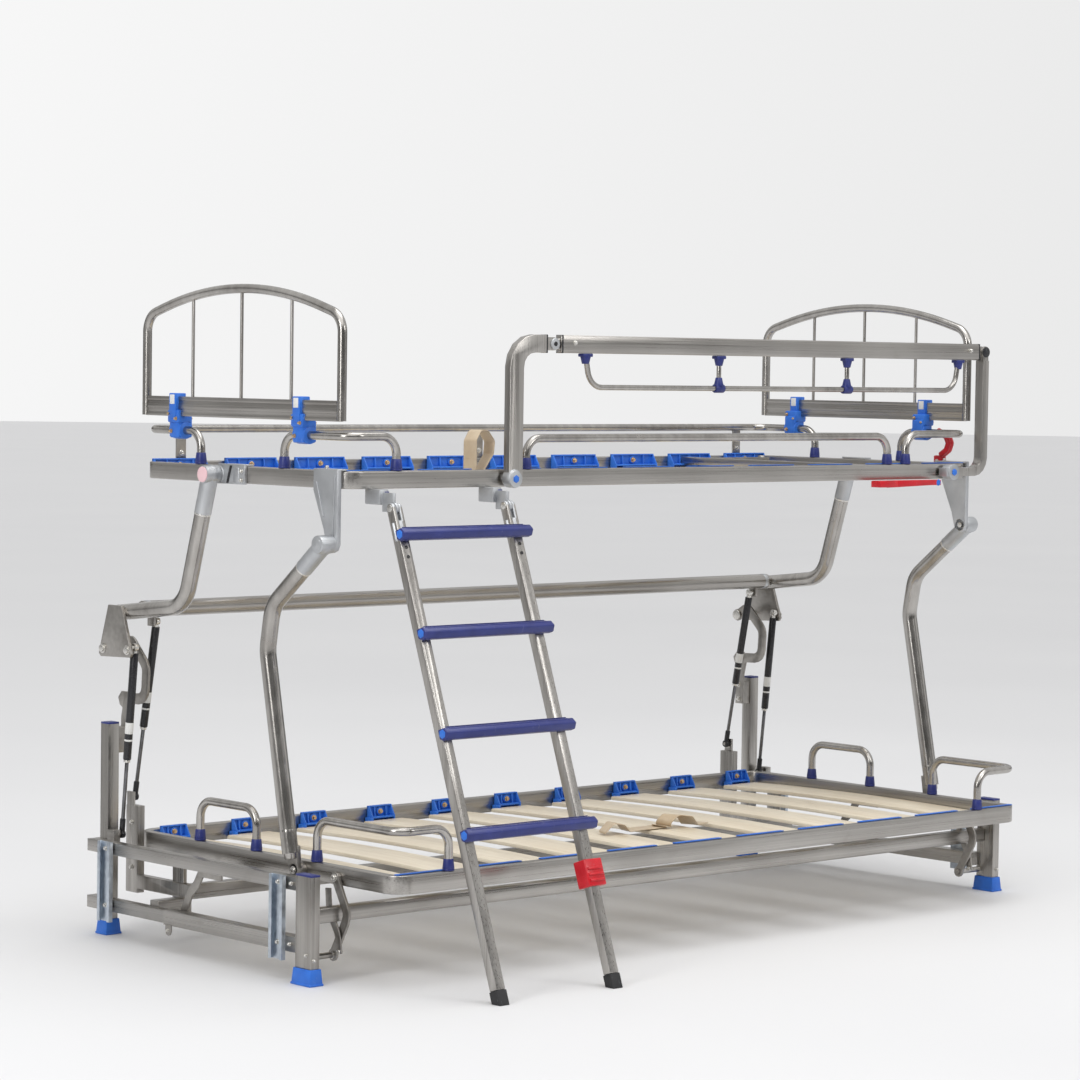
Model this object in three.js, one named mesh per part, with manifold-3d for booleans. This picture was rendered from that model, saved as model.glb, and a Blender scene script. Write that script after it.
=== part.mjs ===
// Folding bunk bed of steel tube with a hooked-on ladder, in the open position.
// Millimetres. +X runs along the beds, +Y to the rear, +Z up.
import * as THREE from "three";
import { mergeVertices, toCreasedNormals } from "three/addons/utils/BufferGeometryUtils.js";
import Module from "manifold-3d";

const wasm = await Module();
wasm.setup();

// ---------------------------------------------------------------- overall sizes
const SPAN = 2132; // over the outer faces of the front feet
const HALF = SPAN / 2;
const BED_INSET = 106; // outer end face of both beds, from the feet
const BED_LENGTH = SPAN - 2 * BED_INSET;
const LOWER_FRONT = -138;
const LOWER_WIDTH = 882;
const LOWER_REAR = LOWER_FRONT + LOWER_WIDTH;
const LOWER_TOP = 230;
const UPPER_FRONT = 35;
const UPPER_WIDTH = 700;
const UPPER_REAR = UPPER_FRONT + UPPER_WIDTH;
const UPPER_TOP = 1032;
const UPPER_BOTTOM_GAP = 36; // depth of the upper frame's tube
const GAP = 0.3; // between faces that touch
const RUN = 0.8; // between faces that move past each other

// frame tube
const RAIL_WIDE = 20;
const RAIL_TALL = 38;
const CORNER_RADIUS = 45;

// hoops and their tube
const HOOP_RADIUS = 9;
const HOOP_BEND = 38;
const HOOP_INSET = 10; // hoop axis in from the bed's outer face
const LOWER_HOOP_RISE = 87;
const UPPER_HOOP_RISE = 70;

// folding linkage, as (y, z) of each axis
const LEG_FOOT = [160, 212];
const LEG_HEAD = [68, UPPER_TOP - 148];
const REAR_FOOT = [800, 622];
const REAR_HEAD = [452, UPPER_TOP - 19];
const LEG_RADIUS = 18;
const LEG_PLANE = 94 - LEG_RADIUS; // tube axis, in from the outer feet
const SUPPORT_PLANE = 96 - LEG_RADIUS;
const PIN_RADIUS = 6.5;

// base
const FRONT_POST = { x0: 6, x1: 28, y0: 8, y1: 58, z1: 220 };
const REAR_POST = { x0: 54, x1: 82, y0: 776, y1: 804, z1: 460 };
const POST_BOTTOM = 12.3;
const SIDE_RAIL_REAR = 803;
const UPPER_RAIL = { x0: 20, x1: 44, z0: 185, z1: 211 };
const LOWER_RAIL = { x0: 20, x1: 44, z0: 62, z1: 88 };
const SLEEVE = { wall: 2.5, rear: 520 };
const FOOT_TALL = 34;
const FOOT_FLARE = 3;

// slats
const SLAT_COUNT = 10;
const SLAT_PITCH = 195;
const SLAT_WIDE = 118;
const SLAT_THICK = 12;
const SLAT_DROP = RAIL_TALL - 16; // slat top below the rail top
const STRIP_WIDE = 14;

// guard rail: a parallelogram of two arms and a rail
const GUARD_FRONT = 8;
const GUARD_DEEP = 20;
const GUARD_TALL = 38;
const GUARD_FOOT_Z = UPPER_TOP - 19;
const GUARD_TOP_Z = UPPER_TOP + 265;
const GUARD_LEFT_FOOT = 537;
const GUARD_LEAN = 110; // each arm's upper pivot is this far right of its lower one
const GUARD_RIGHT_HEAD = SPAN - 92;
const GUARD_LINK_END = 20; // tube end back from a pivot
const GUARD_CHEEK = 6.6;
const LOOP_RADIUS = 6;

// headboards
const HEAD_RADIUS = 10;
const HEAD_MARGIN = 18; // leg axis in from the bed's front and rear faces
const PLATE_BOTTOM = UPPER_TOP + 100;
const PLATE_TALL = 42;
const PLATE_THICK = 12;
const ARCH_SHOULDER = UPPER_TOP + 313;
const ARCH_PEAK = UPPER_TOP + 410;
const ARCH_BEND = 950;
const SPINDLE_RADIUS = 3.5;
const CLAMP_HALF = 16;

// ladder
const LADDER_HINGE = [-28, UPPER_TOP - 73];
const LADDER_LEFT = 180;
const LADDER_RIGHT = 487;
const LADDER_OUT = 342; // feet stand this far in front of the hinge
const STILE_WIDE = 24;
const STILE_DEEP = 22;
const RUNG_COUNT = 4;
const RUNG_LONG = 350;
const RUNG_FIRST = 62;
const RUNG_PITCH = 207;
const RUNG_HALF_TALL = 12;
const RUNG_DEEP = 28;

// gas springs, as (y, z) of the two eyes at rest and the x of their plane
const OUTER_SPRING = { x: 73, top: [708, 631], foot: [750, 222] };
const INNER_SPRING = { x: 143, top: [726, 684], foot: [800, 294] };
const CYLINDER_RADIUS = 9;
const ROD_RADIUS = 4.5;
const CYLINDER_SHARE = 0.6; // of the length between the eyes
const EYE_WIDE = 10;
const EYE_PIN = 4;

const SIDES = 10;
const BEND_STEP = Math.PI / 8;
const WIDE_BEND = 200;

// ---------------------------------------------------------------- finishes
const finish = (color, roughness, metalness) =>
  new THREE.MeshStandardMaterial({ color, roughness, metalness });
const STEEL = finish(0xb5b0a8, 0.32, 1);
const CAST = finish(0xa9acb0, 0.45, 1);
const SHEET_STEEL = finish(0x9a9892, 0.45, 1);
const BLUE = finish(0x1f4fd0, 0.45, 0);
const NAVY = finish(0x2a3490, 0.5, 0);
const RED = finish(0xd01225, 0.4, 0);
const BLACK = finish(0x17181b, 0.4, 0);
const ROD_STEEL = finish(0x4a4a4c, 0.25, 1);
const WOOD = finish(0xe8dcc0, 0.6, 0);
const WEBBING = finish(0xc4ab86, 0.6, 0);

// ---------------------------------------------------------------- solids
// A closed three.js geometry as a solid that can be joined and cut.
function solid(geometry) {
  const bare = geometry.clone();
  bare.deleteAttribute("normal");
  bare.deleteAttribute("uv");
  const merged = mergeVertices(bare, 1e-3);
  const { Manifold, Mesh } = wasm;
  return new Manifold(
    new Mesh({
      numProp: 3,
      vertProperties: merged.attributes.position.array,
      triVerts: new Uint32Array(merged.index.array),
    }),
  );
}

function geometryOf(shape) {
  const { vertProperties, triVerts } = shape.getMesh();
  const geometry = new THREE.BufferGeometry();
  geometry.setAttribute("position", new THREE.BufferAttribute(vertProperties, 3));
  geometry.setIndex(new THREE.BufferAttribute(triVerts, 1));
  return toCreasedNormals(geometry, Math.PI / 5);
}

const join = (...shapes) => shapes.reduce((whole, next) => whole.add(next));

function box(x0, x1, y0, y1, z0, z1) {
  const geometry = new THREE.BoxGeometry(x1 - x0, y1 - y0, z1 - z0);
  geometry.translate((x0 + x1) / 2, (y0 + y1) / 2, (z0 + z1) / 2);
  return solid(geometry);
}

// A round bar along X, from x0 to x1, on the axis (y, z).
function barX(x0, x1, y, z, radius, sides = SIDES) {
  const geometry = new THREE.CylinderGeometry(radius, radius, x1 - x0, sides);
  geometry.rotateZ(Math.PI / 2);
  geometry.translate((x0 + x1) / 2, y, z);
  return solid(geometry);
}

// A round bar along Y, on the axis (x, z).
function barY(y0, y1, x, z, radius, sides = SIDES) {
  const geometry = new THREE.CylinderGeometry(radius, radius, y1 - y0, sides);
  geometry.translate(x, (y0 + y1) / 2, z);
  return solid(geometry);
}

// A route that passes through given stations in order, one step of an extrusion to each.
class Stations extends THREE.Curve {
  constructor(points) {
    super();
    this.points = points;
  }
  getPoint(t, target = new THREE.Vector3()) {
    const place = t * (this.points.length - 1);
    const index = Math.min(Math.floor(place + 1e-9), this.points.length - 2);
    return target.lerpVectors(this.points[index], this.points[index + 1], place - index);
  }
  getPointAt(u, target) {
    return this.getPoint(u, target);
  }
  getTangentAt(u, target = new THREE.Vector3()) {
    const last = this.points.length - 1;
    const index = Math.round(u * last);
    const before = this.points[Math.max(index - 1, 0)];
    const here = this.points[index];
    const after = this.points[Math.min(index + 1, last)];
    const into = here.clone().sub(before).normalize();
    const out = after.clone().sub(here).normalize();
    return target.copy(into).add(out).normalize();
  }
}

// The stations of a tube bent at each inner corner to that corner's radius.
function bent(corners, radii) {
  const points = [corners[0]];
  for (let i = 1; i < corners.length - 1; i += 1) {
    const radius = Array.isArray(radii) ? radii[i - 1] : radii;
    const into = corners[i].clone().sub(corners[i - 1]).normalize();
    const out = corners[i + 1].clone().sub(corners[i]).normalize();
    const turn = into.angleTo(out);
    const setback = radius * Math.tan(turn / 2);
    const start = corners[i].clone().addScaledVector(into, -setback);
    const inward = out.clone().addScaledVector(into, -out.dot(into)).normalize();
    const centre = start.clone().addScaledVector(inward, radius);
    const step = radius > WIDE_BEND ? BEND_STEP / 4 : BEND_STEP;
    const steps = Math.max(2, Math.ceil(turn / step));
    for (let k = 0; k <= steps; k += 1) {
      const angle = (turn * k) / steps;
      points.push(
        centre
          .clone()
          .addScaledVector(inward, -radius * Math.cos(angle))
          .addScaledVector(into, radius * Math.sin(angle)),
      );
    }
  }
  points.push(corners[corners.length - 1]);
  return points;
}

function sweep(section, points) {
  const shape = new THREE.Shape(section);
  const geometry = new THREE.ExtrudeGeometry(shape, {
    steps: points.length - 1,
    bevelEnabled: false,
    extrudePath: new Stations(points),
  });
  return solid(geometry);
}

function roundSection(radius, sides = SIDES) {
  return Array.from({ length: sides }, (_, k) => {
    const angle = (2 * Math.PI * k) / sides;
    return new THREE.Vector2(radius * Math.cos(angle), radius * Math.sin(angle));
  });
}

function flatSection(across, along) {
  const x = across / 2;
  const y = along / 2;
  return [
    new THREE.Vector2(-x, -y),
    new THREE.Vector2(x, -y),
    new THREE.Vector2(x, y),
    new THREE.Vector2(-x, y),
  ];
}

const V = (x, y, z) => new THREE.Vector3(x, y, z);

const tube = (corners, bend, radius, sides) => sweep(roundSection(radius, sides), bent(corners, bend));

// A flat plate in the YZ plane, from x0 to x1, with the outline [y, z] and round holes [y, z, radius].
function plateX(x0, x1, outline, holes = []) {
  const shape = new THREE.Shape(outline.map(([y, z]) => new THREE.Vector2(y, z)));
  for (const [y, z, radius] of holes) {
    shape.holes.push(new THREE.Path(roundSection(radius, 12).map((p) => p.add(new THREE.Vector2(y, z)))));
  }
  const geometry = new THREE.ExtrudeGeometry(shape, { depth: x1 - x0, bevelEnabled: false });
  geometry.applyMatrix4(new THREE.Matrix4().set(0, 0, 1, x0, 1, 0, 0, 0, 0, 1, 0, 0, 0, 0, 0, 1));
  return solid(geometry);
}

// A rounded rectangle in plan, as a shape or a hole.
function roundedPlan(target, x0, x1, y0, y1, radius) {
  target.moveTo(x0 + radius, y0);
  target.lineTo(x1 - radius, y0);
  target.absarc(x1 - radius, y0 + radius, radius, -Math.PI / 2, 0, false);
  target.lineTo(x1, y1 - radius);
  target.absarc(x1 - radius, y1 - radius, radius, 0, Math.PI / 2, false);
  target.lineTo(x0 + radius, y1);
  target.absarc(x0 + radius, y1 - radius, radius, Math.PI / 2, Math.PI, false);
  target.lineTo(x0, y0 + radius);
  target.absarc(x0 + radius, y0 + radius, radius, Math.PI, 1.5 * Math.PI, false);
  return target;
}

// The outline of a bed frame in plan, drawn in from its outer faces.
function bedPlan(target, y0, y1, margin) {
  const x1 = HALF - BED_INSET - margin;
  return roundedPlan(target, -x1, x1, y0 + margin, y1 - margin, CORNER_RADIUS - margin);
}

function upright(shape, z0, z1) {
  const geometry = new THREE.ExtrudeGeometry(shape, {
    depth: z1 - z0,
    bevelEnabled: false,
    curveSegments: 5,
  });
  geometry.translate(0, 0, z0);
  return solid(geometry);
}

// The bed frame: one tube bent into a ring with rounded corners.
function ring(y0, y1, z0, z1) {
  const shape = bedPlan(new THREE.Shape(), y0, y1, 0);
  shape.holes.push(bedPlan(new THREE.Path(), y0, y1, RAIL_WIDE));
  return upright(shape, z0, z1);
}

// ---------------------------------------------------------------- assembly
const root = new THREE.Group();

function add(name, shape, material) {
  const mesh = new THREE.Mesh(geometryOf(shape), material);
  mesh.name = name;
  root.add(mesh);
}

// x of a point given as a distance in from the left feet's outer face
const inset = (distance) => distance - HALF;

const mirrored = (shape) => shape.mirror([1, 0, 0]);

// A piece modelled at the left end, and its mirror image at the right end.
function addPair(name, shape, material) {
  add(`${name}_left`, shape, material);
  add(`${name}_right`, mirrored(shape), material);
}

// ---- base: posts and side rails welded into a ladder-shaped side, one at each end
function baseSide() {
  const bar = ({ x0, x1, z0, z1 }, y0, y1) => box(inset(x0), inset(x1), y0, y1, z0, z1);
  const post = ({ x0, x1, y0, y1, z1 }) => box(inset(x0), inset(x1), y0, y1, POST_BOTTOM, z1);
  const joint = 2; // depth of each weld
  const spacer = { x0: UPPER_RAIL.x1 - joint, x1: REAR_POST.x0 + joint };
  const sleeve = {
    x0: LOWER_RAIL.x0 - SLEEVE.wall,
    x1: LOWER_RAIL.x1 + SLEEVE.wall,
    z0: LOWER_RAIL.z0 - SLEEVE.wall,
    z1: LOWER_RAIL.z1 + SLEEVE.wall,
  };
  const [springY, springZ] = OUTER_SPRING.foot;
  const lugEnd = OUTER_SPRING.x - EYE_WIDE / 2 - 8;
  const springLug = box(
    inset(UPPER_RAIL.x1 - joint),
    inset(lugEnd),
    springY - 12,
    springY + 12,
    springZ - 22,
    springZ + 11,
  );
  const springPin = barX(
    inset(lugEnd - joint),
    inset(OUTER_SPRING.x + EYE_WIDE / 2 + 2),
    springY,
    springZ,
    EYE_PIN,
  );
  const stayPin = barX(inset(FRONT_POST.x1 - joint), inset(STAY_OUTER), STAY_FOOT[0], STAY_FOOT[1], PIN_RADIUS);
  return join(
    post(FRONT_POST),
    post(REAR_POST),
    bar(UPPER_RAIL, FRONT_POST.y1 - joint, SIDE_RAIL_REAR),
    bar(LOWER_RAIL, SLEEVE.rear - joint, SIDE_RAIL_REAR),
    bar(sleeve, FRONT_POST.y1 - joint, SLEEVE.rear),
    bar({ ...spacer, z0: UPPER_RAIL.z0, z1: UPPER_RAIL.z1 }, REAR_POST.y0, REAR_POST.y1),
    bar({ ...spacer, z0: LOWER_RAIL.z0, z1: LOWER_RAIL.z1 }, REAR_POST.y0, REAR_POST.y1),
    springLug,
    springPin,
    stayPin,
  );
}

// ---- moulded foot: a flared cup that the post stands in
function footCup({ x0, x1, y0, y1 }) {
  const wide = x1 - x0;
  const deep = y1 - y0;
  const wall = 3;
  const geometry = new THREE.CylinderGeometry(Math.SQRT1_2, Math.SQRT1_2, FOOT_TALL, 4);
  geometry.rotateY(Math.PI / 4);
  geometry.rotateX(Math.PI / 2);
  geometry.translate(0, 0, FOOT_TALL / 2);
  const corner = geometry.attributes.position;
  for (let i = 0; i < corner.count; i += 1) {
    const flare = wall + FOOT_FLARE * (1 - corner.getZ(i) / FOOT_TALL);
    corner.setX(i, corner.getX(i) * (wide + 2 * flare));
    corner.setY(i, corner.getY(i) * (deep + 2 * flare));
  }
  geometry.translate(inset((x0 + x1) / 2), (y0 + y1) / 2, 0);
  const pocket = box(
    inset(x0 - GAP),
    inset(x1 + GAP),
    y0 - GAP,
    y1 + GAP,
    POST_BOTTOM - GAP,
    FOOT_TALL + 1,
  );
  return solid(geometry).subtract(pocket);
}

// ---- folding stay between the front post's foot and the lower bed
const STAY_OUTER = BED_INSET - 2;
const STAY_HEAD = [48, 208];
const STAY_KNEE = [6, 135];
const STAY_FOOT = [52, 50];
function bedStay() {
  const x0 = inset(STAY_OUTER - 7);
  const x1 = inset(STAY_OUTER - 1);
  const mid = (x0 + x1) / 2;
  const strip = sweep(flatSection(x1 - x0, 20), bent(
    [STAY_HEAD, STAY_KNEE, STAY_FOOT].map(([y, z]) => V(mid, y, z)),
    30,
  ));
  const eye = barX(x0, x1, STAY_FOOT[0], STAY_FOOT[1], 13);
  const head = barX(x0, inset(BED_INSET - GAP), STAY_HEAD[0], STAY_HEAD[1], 12);
  const hole = barX(x0 - 1, x1 + 1, STAY_FOOT[0], STAY_FOOT[1], PIN_RADIUS + RUN);
  return join(strip, eye, head).subtract(hole);
}

// ---- rear cross frame: a beam between the side rails with an upright for each inner spring
const UPRIGHT = { x0: 130, x1: 149, y0: 771, y1: 814, z0: 85, z1: 276 };
const REAR_BEAM = { y0: 575, y1: 605, z0: 95, z1: 125 };
function rearCrossFrame() {
  const half = (left) =>
    join(
      left(box(inset(UPRIGHT.x0), 1, REAR_BEAM.y0, REAR_BEAM.y1, REAR_BEAM.z0, REAR_BEAM.z1)),
      left(
        box(inset(UPRIGHT.x0), inset(UPRIGHT.x1), REAR_BEAM.y0, UPRIGHT.y1, REAR_BEAM.z0, REAR_BEAM.z1),
      ),
      left(
        box(inset(UPRIGHT.x0), inset(UPRIGHT.x1), UPRIGHT.y0, UPRIGHT.y1, UPRIGHT.z0, UPRIGHT.z1),
      ),
      left(
        box(
          inset(LOWER_RAIL.x1 + GAP),
          inset(UPRIGHT.x0 + 2),
          REAR_BEAM.y0,
          REAR_BEAM.y1,
          LOWER_RAIL.z0,
          REAR_BEAM.z0 + 4,
        ),
      ),
      left(box(inset(UPRIGHT.x0 + 6), inset(UPRIGHT.x1 - 4), 610, 650, UPRIGHT.z0, 188)),
      left(
        box(
          inset(UPRIGHT.x0),
          inset(UPRIGHT.x0 + 6),
          INNER_SPRING.foot[0] - 12,
          INNER_SPRING.foot[0] + 12,
          UPRIGHT.z1 - 2,
          INNER_SPRING.foot[1] + 12,
        ),
      ),
      left(barX(inset(UPRIGHT.x0 + 4), inset(UPRIGHT.x1 + 1), ...INNER_SPRING.foot, EYE_PIN)),
    );
  return half((shape) => shape).add(half(mirrored));
}

// ---- hooked arm plate that carries the rear linkage on top of the rear post
const ARM_OUTER = 104;
const ARM_THICK = 6;
function hookArm() {
  const x0 = inset(ARM_OUTER);
  const mid = x0 + ARM_THICK / 2;
  const [y, z] = REAR_FOOT;
  const route = [
    [y, z],
    [y - 32, z + 20],
    [y - 88, z - 34],
    [y - 84, z - 106],
    [y - 22, z - 108],
    [y - 12, z - 150],
    [y - 10, z - 220],
  ];
  const arm = sweep(
    flatSection(ARM_THICK, 24),
    bent(route.map(([py, pz]) => V(mid, py, pz)), [12, 30, 26, 14, 20]),
  );
  const eye = barX(x0, x0 + ARM_THICK, y, z, 15, 12);
  const saddle = box(
    inset(REAR_POST.x1 + GAP),
    x0 + ARM_THICK,
    REAR_POST.y0 + 2,
    REAR_POST.y1 - 2,
    396,
    REAR_POST.z1 - 8,
  );
  const hole = barX(x0 - 1, x0 + ARM_THICK + 1, y, z, PIN_RADIUS + RUN, 12);
  return join(arm, eye, saddle).subtract(hole);
}

// ---- slatted deck: slats joined by the holder strips at their ends
function slatDeck(y0, y1, top) {
  const slatTop = top - SLAT_DROP;
  const end = ((SLAT_COUNT - 1) * SLAT_PITCH + SLAT_WIDE) / 2;
  const inner0 = y0 + RAIL_WIDE + GAP;
  const inner1 = y1 - RAIL_WIDE - GAP;
  const strip = (a, b) => box(-end, end, a, b, slatTop - SLAT_THICK - 8, slatTop - SLAT_THICK + 1);
  const deck = [strip(inner0, inner0 + STRIP_WIDE), strip(inner1 - STRIP_WIDE, inner1)];
  for (let i = 0; i < SLAT_COUNT; i += 1) {
    const x = (i - (SLAT_COUNT - 1) / 2) * SLAT_PITCH;
    deck.push(
      box(x - SLAT_WIDE / 2, x + SLAT_WIDE / 2, inner0, inner1, slatTop - SLAT_THICK, slatTop),
    );
  }
  const inside = bedPlan(new THREE.Shape(), y0, y1, RAIL_WIDE + GAP);
  return join(...deck).intersect(upright(inside, top - RAIL_TALL, top));
}

// ---- mattress hoops
// A hoop with both feet on one end rail.
function endHoop(y0, y1, top, rise) {
  const x = inset(BED_INSET + HOOP_INSET);
  return tube(
    [V(x, y0, top + GAP), V(x, y0, top + rise), V(x, y1, top + rise), V(x, y1, top + GAP)],
    HOOP_BEND,
    HOOP_RADIUS,
  );
}
// A hoop round the front corner, with one foot on the end rail and one on the front rail.
function cornerHoop(front, endFoot, frontFoot, top, rise) {
  const x = inset(BED_INSET + HOOP_INSET);
  const y = front + HOOP_INSET;
  return tube(
    [
      V(x, endFoot, top + GAP),
      V(x, endFoot, top + rise),
      V(x, y, top + rise),
      V(inset(frontFoot), y, top + rise),
      V(inset(frontFoot), y, top + GAP),
    ],
    HOOP_BEND,
    HOOP_RADIUS,
  );
}

// The long hoop round the rear of the upper bed, with a flat strap near each end.
function rearHoop() {
  const x = inset(BED_INSET + HOOP_INSET);
  const y = UPPER_REAR - HOOP_INSET;
  const z = UPPER_TOP + UPPER_HOOP_RISE;
  const foot = UPPER_REAR - 200;
  const hoop = tube(
    [
      V(x, foot, UPPER_TOP + GAP),
      V(x, foot, z),
      V(x, y, z),
      V(-x, y, z),
      V(-x, foot, z),
      V(-x, foot, UPPER_TOP + GAP),
    ],
    HOOP_BEND,
    HOOP_RADIUS,
  );
  const strap = box(inset(190), inset(216), y - 2, y + 2, UPPER_TOP + GAP, z);
  return join(hoop, strap, mirrored(strap));
}

// ---- front leg: cast elbow, bent tube and flattened lower end, all in one plane
function frontLeg() {
  const x = inset(LEG_PLANE);
  const [footY, footZ] = LEG_FOOT;
  const [headY, headZ] = LEG_HEAD;
  const shin = tube(
    [
      V(x, headY + 4, headZ - 4),
      V(x, headY + 164, headZ - 134),
      V(x, headY + 180, headZ - 226),
      V(x, footY + 5, footZ + 34),
    ],
    [70, 90],
    LEG_RADIUS,
    12,
  );
  const knuckle = barX(x - LEG_RADIUS, inset(BRACKET_OUTER - RUN), headY, headZ, LEG_RADIUS, 12);
  const pin = barX(x, inset(BED_INSET - 1), headY, headZ, PIN_RADIUS);
  const blade = box(x + 4, x + 16, footY - 13, footY + 18, footZ, footZ + 60);
  const eye = barX(x + 4, inset(BED_INSET - GAP), footY, footZ, 13, 12);
  return join(shin, knuckle, pin, blade, eye);
}

// ---- tapered bracket that hangs from the upper end rail and holds the leg's head
const BRACKET_OUTER = 95;
const PIVOT_PLAY = 7; // the front pivot's bore is this much larger than its pin in radius
function legBracket() {
  const [y, z] = LEG_HEAD;
  const radius = 18;
  const outline = [
    [y - radius, UPPER_TOP + 4],
    [y - radius, z],
    [y - radius * 0.7, z - radius * 0.7],
    [y, z - radius],
    [y + radius * 0.7, z - radius * 0.7],
    [y + radius, z],
    [y + radius + 8, z + 30],
    [y + radius + 42, UPPER_TOP - 40],
    [y + radius + 42, UPPER_TOP + 4],
  ];
  const plate = plateX(inset(BRACKET_OUTER), inset(BED_INSET - GAP), outline, [
    [y, z, PIN_RADIUS + PIVOT_PLAY],
  ]);
  const hook = box(
    inset(BRACKET_OUTER + 2),
    inset(BED_INSET + 18),
    y - radius,
    y + radius + 42,
    UPPER_TOP + GAP,
    UPPER_TOP + 4,
  );
  return plate.add(hook);
}

// ---- clamp on the upper end rail that holds the rear support's head
const CLAMP_OUTER = 99;
function rearClamp() {
  const [y, z] = REAR_HEAD;
  const boss = barX(inset(CLAMP_OUTER - 1), inset(BED_INSET - GAP), y, z, LEG_RADIUS, 12);
  const pad = box(inset(CLAMP_OUTER), inset(BED_INSET - GAP), y - 90, y, UPPER_TOP - 38, UPPER_TOP + 4);
  const hook = box(inset(CLAMP_OUTER), inset(BED_INSET + 18), y - 90, y - 20, UPPER_TOP + GAP, UPPER_TOP + 4);
  const bore = barX(inset(CLAMP_OUTER - 2), inset(BED_INSET), y, z, PIN_RADIUS + RUN, 12);
  return join(boss, pad, hook).subtract(bore);
}

// ---- rear support: bent tube, cast head and side plate
const PLATE_OUTER = SUPPORT_PLANE - LEG_RADIUS - 6;
function rearSupport() {
  const x = inset(SUPPORT_PLANE);
  const [footY, footZ] = REAR_FOOT;
  const [headY, headZ] = REAR_HEAD;
  const shank = tube(
    [V(x, footY - 28, footZ + 80), V(x, headY + 84, footZ + 108), V(x, headY, headZ)],
    70,
    LEG_RADIUS,
    12,
  );
  const knuckle = barX(x - LEG_RADIUS - 3, inset(CLAMP_OUTER - 1 - RUN), headY, headZ, LEG_RADIUS, 12);
  const headPin = barX(x, inset(BED_INSET - 1), headY, headZ, PIN_RADIUS);
  const plate = plateX(inset(PLATE_OUTER), inset(SUPPORT_PLANE - LEG_RADIUS + 2), [
    [footY - 66, footZ + 96],
    [footY - 104, footZ - 6],
    [footY - 96, footZ - 12],
    [footY + 10, footZ - 16],
    [footY + 16, footZ - 8],
    [footY - 20, footZ + 98],
  ]);
  const footPin = barX(inset(PLATE_OUTER - 5), inset(ARM_OUTER + ARM_THICK + 4), footY, footZ, PIN_RADIUS);
  const [outerY, outerZ] = OUTER_SPRING.top;
  const outerPin = barX(inset(PLATE_OUTER - 4), inset(OUTER_SPRING.x + EYE_WIDE / 2 + 2), outerY, outerZ, EYE_PIN);
  return join(shank, knuckle, headPin, plate, footPin, outerPin);
}

// ---- tube between the two rear supports, with a lug for each inner spring
const CROSS_TUBE = [715, 713];
function rearCrossTube() {
  const end = inset(SUPPORT_PLANE + LEG_RADIUS + GAP);
  const [y, z] = INNER_SPRING.top;
  const lugInner = INNER_SPRING.x - CYLINDER_RADIUS - 1;
  const lug = box(inset(lugInner - 6), inset(lugInner), y - 12, y + 12, z - 10, CROSS_TUBE[1] - 10);
  const pin = barX(inset(lugInner - 3), inset(INNER_SPRING.x + EYE_WIDE / 2 + 2), y, z, EYE_PIN);
  const hanger = lug.add(pin);
  return join(barX(end, -end, ...CROSS_TUBE, LEG_RADIUS, 12), hanger, mirrored(hanger));
}

// ---- gas spring: the cylinder hangs from the upper eye, the rod slides in it
function springPieces({ x, top, foot }) {
  const upper = V(inset(x), ...top);
  const lower = V(inset(x), ...foot);
  const along = lower.clone().sub(upper);
  const long = along.length();
  along.normalize();
  const at = (distance) => upper.clone().addScaledVector(along, distance);
  const eye = (point, bore) =>
    barX(point.x - EYE_WIDE / 2, point.x + EYE_WIDE / 2, point.y, point.z, 9).subtract(
      barX(point.x - EYE_WIDE, point.x + EYE_WIDE, point.y, point.z, bore),
    );
  const cylinderEnd = long * CYLINDER_SHARE;
  const bore = ROD_RADIUS + RUN;
  const body = sweep(roundSection(CYLINDER_RADIUS), [at(8), at(cylinderEnd)]);
  const hollow = sweep(roundSection(bore, 8), [at(30), at(cylinderEnd + 1)]);
  const cylinder = body.subtract(hollow).subtract(
    barX(upper.x - EYE_WIDE, upper.x + EYE_WIDE, upper.y, upper.z, EYE_PIN + RUN),
  );
  const rod = sweep(roundSection(ROD_RADIUS, 8), [at(cylinderEnd - 70), at(long - 8)]);
  return {
    cylinder: join(cylinder, eye(upper, EYE_PIN + RUN)),
    rod: join(rod, eye(lower, EYE_PIN + 2)),
  };
}

// ---- guard rail
const GUARD_MID = GUARD_FRONT + GUARD_DEEP / 2;
const GUARD_BACK = GUARD_FRONT + GUARD_DEEP;
const GUARD_LEFT_HEAD = GUARD_LEFT_FOOT + GUARD_LEAN;
const GUARD_RIGHT_FOOT = GUARD_RIGHT_HEAD - GUARD_LEAN;

// Two cheeks, from the tube's end to round ends about the pivot, along +X or -Z of it.
function cheeks(x, z, towards) {
  const radius = 14;
  const cheek = (y0, y1) => {
    const eye = barY(y0, y1, x, z, radius, 12);
    const reach = GUARD_LINK_END + 2;
    const web =
      towards === "left"
        ? box(x - reach, x, y0, y1, z - radius, z + radius)
        : box(x - 10, x + 10, y0, y1, z - reach, z);
    return eye.add(web);
  };
  return join(
    cheek(GUARD_FRONT, GUARD_FRONT + GUARD_CHEEK),
    cheek(GUARD_BACK - GUARD_CHEEK, GUARD_BACK),
  );
}

function guardPivot(x) {
  const boss = barY(GUARD_FRONT - 4, GUARD_BACK, x, GUARD_FOOT_Z, 19, 12);
  const pin = barY(GUARD_BACK - 2, UPPER_FRONT - GAP, x, GUARD_FOOT_Z, 9);
  return boss.add(pin);
}

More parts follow.
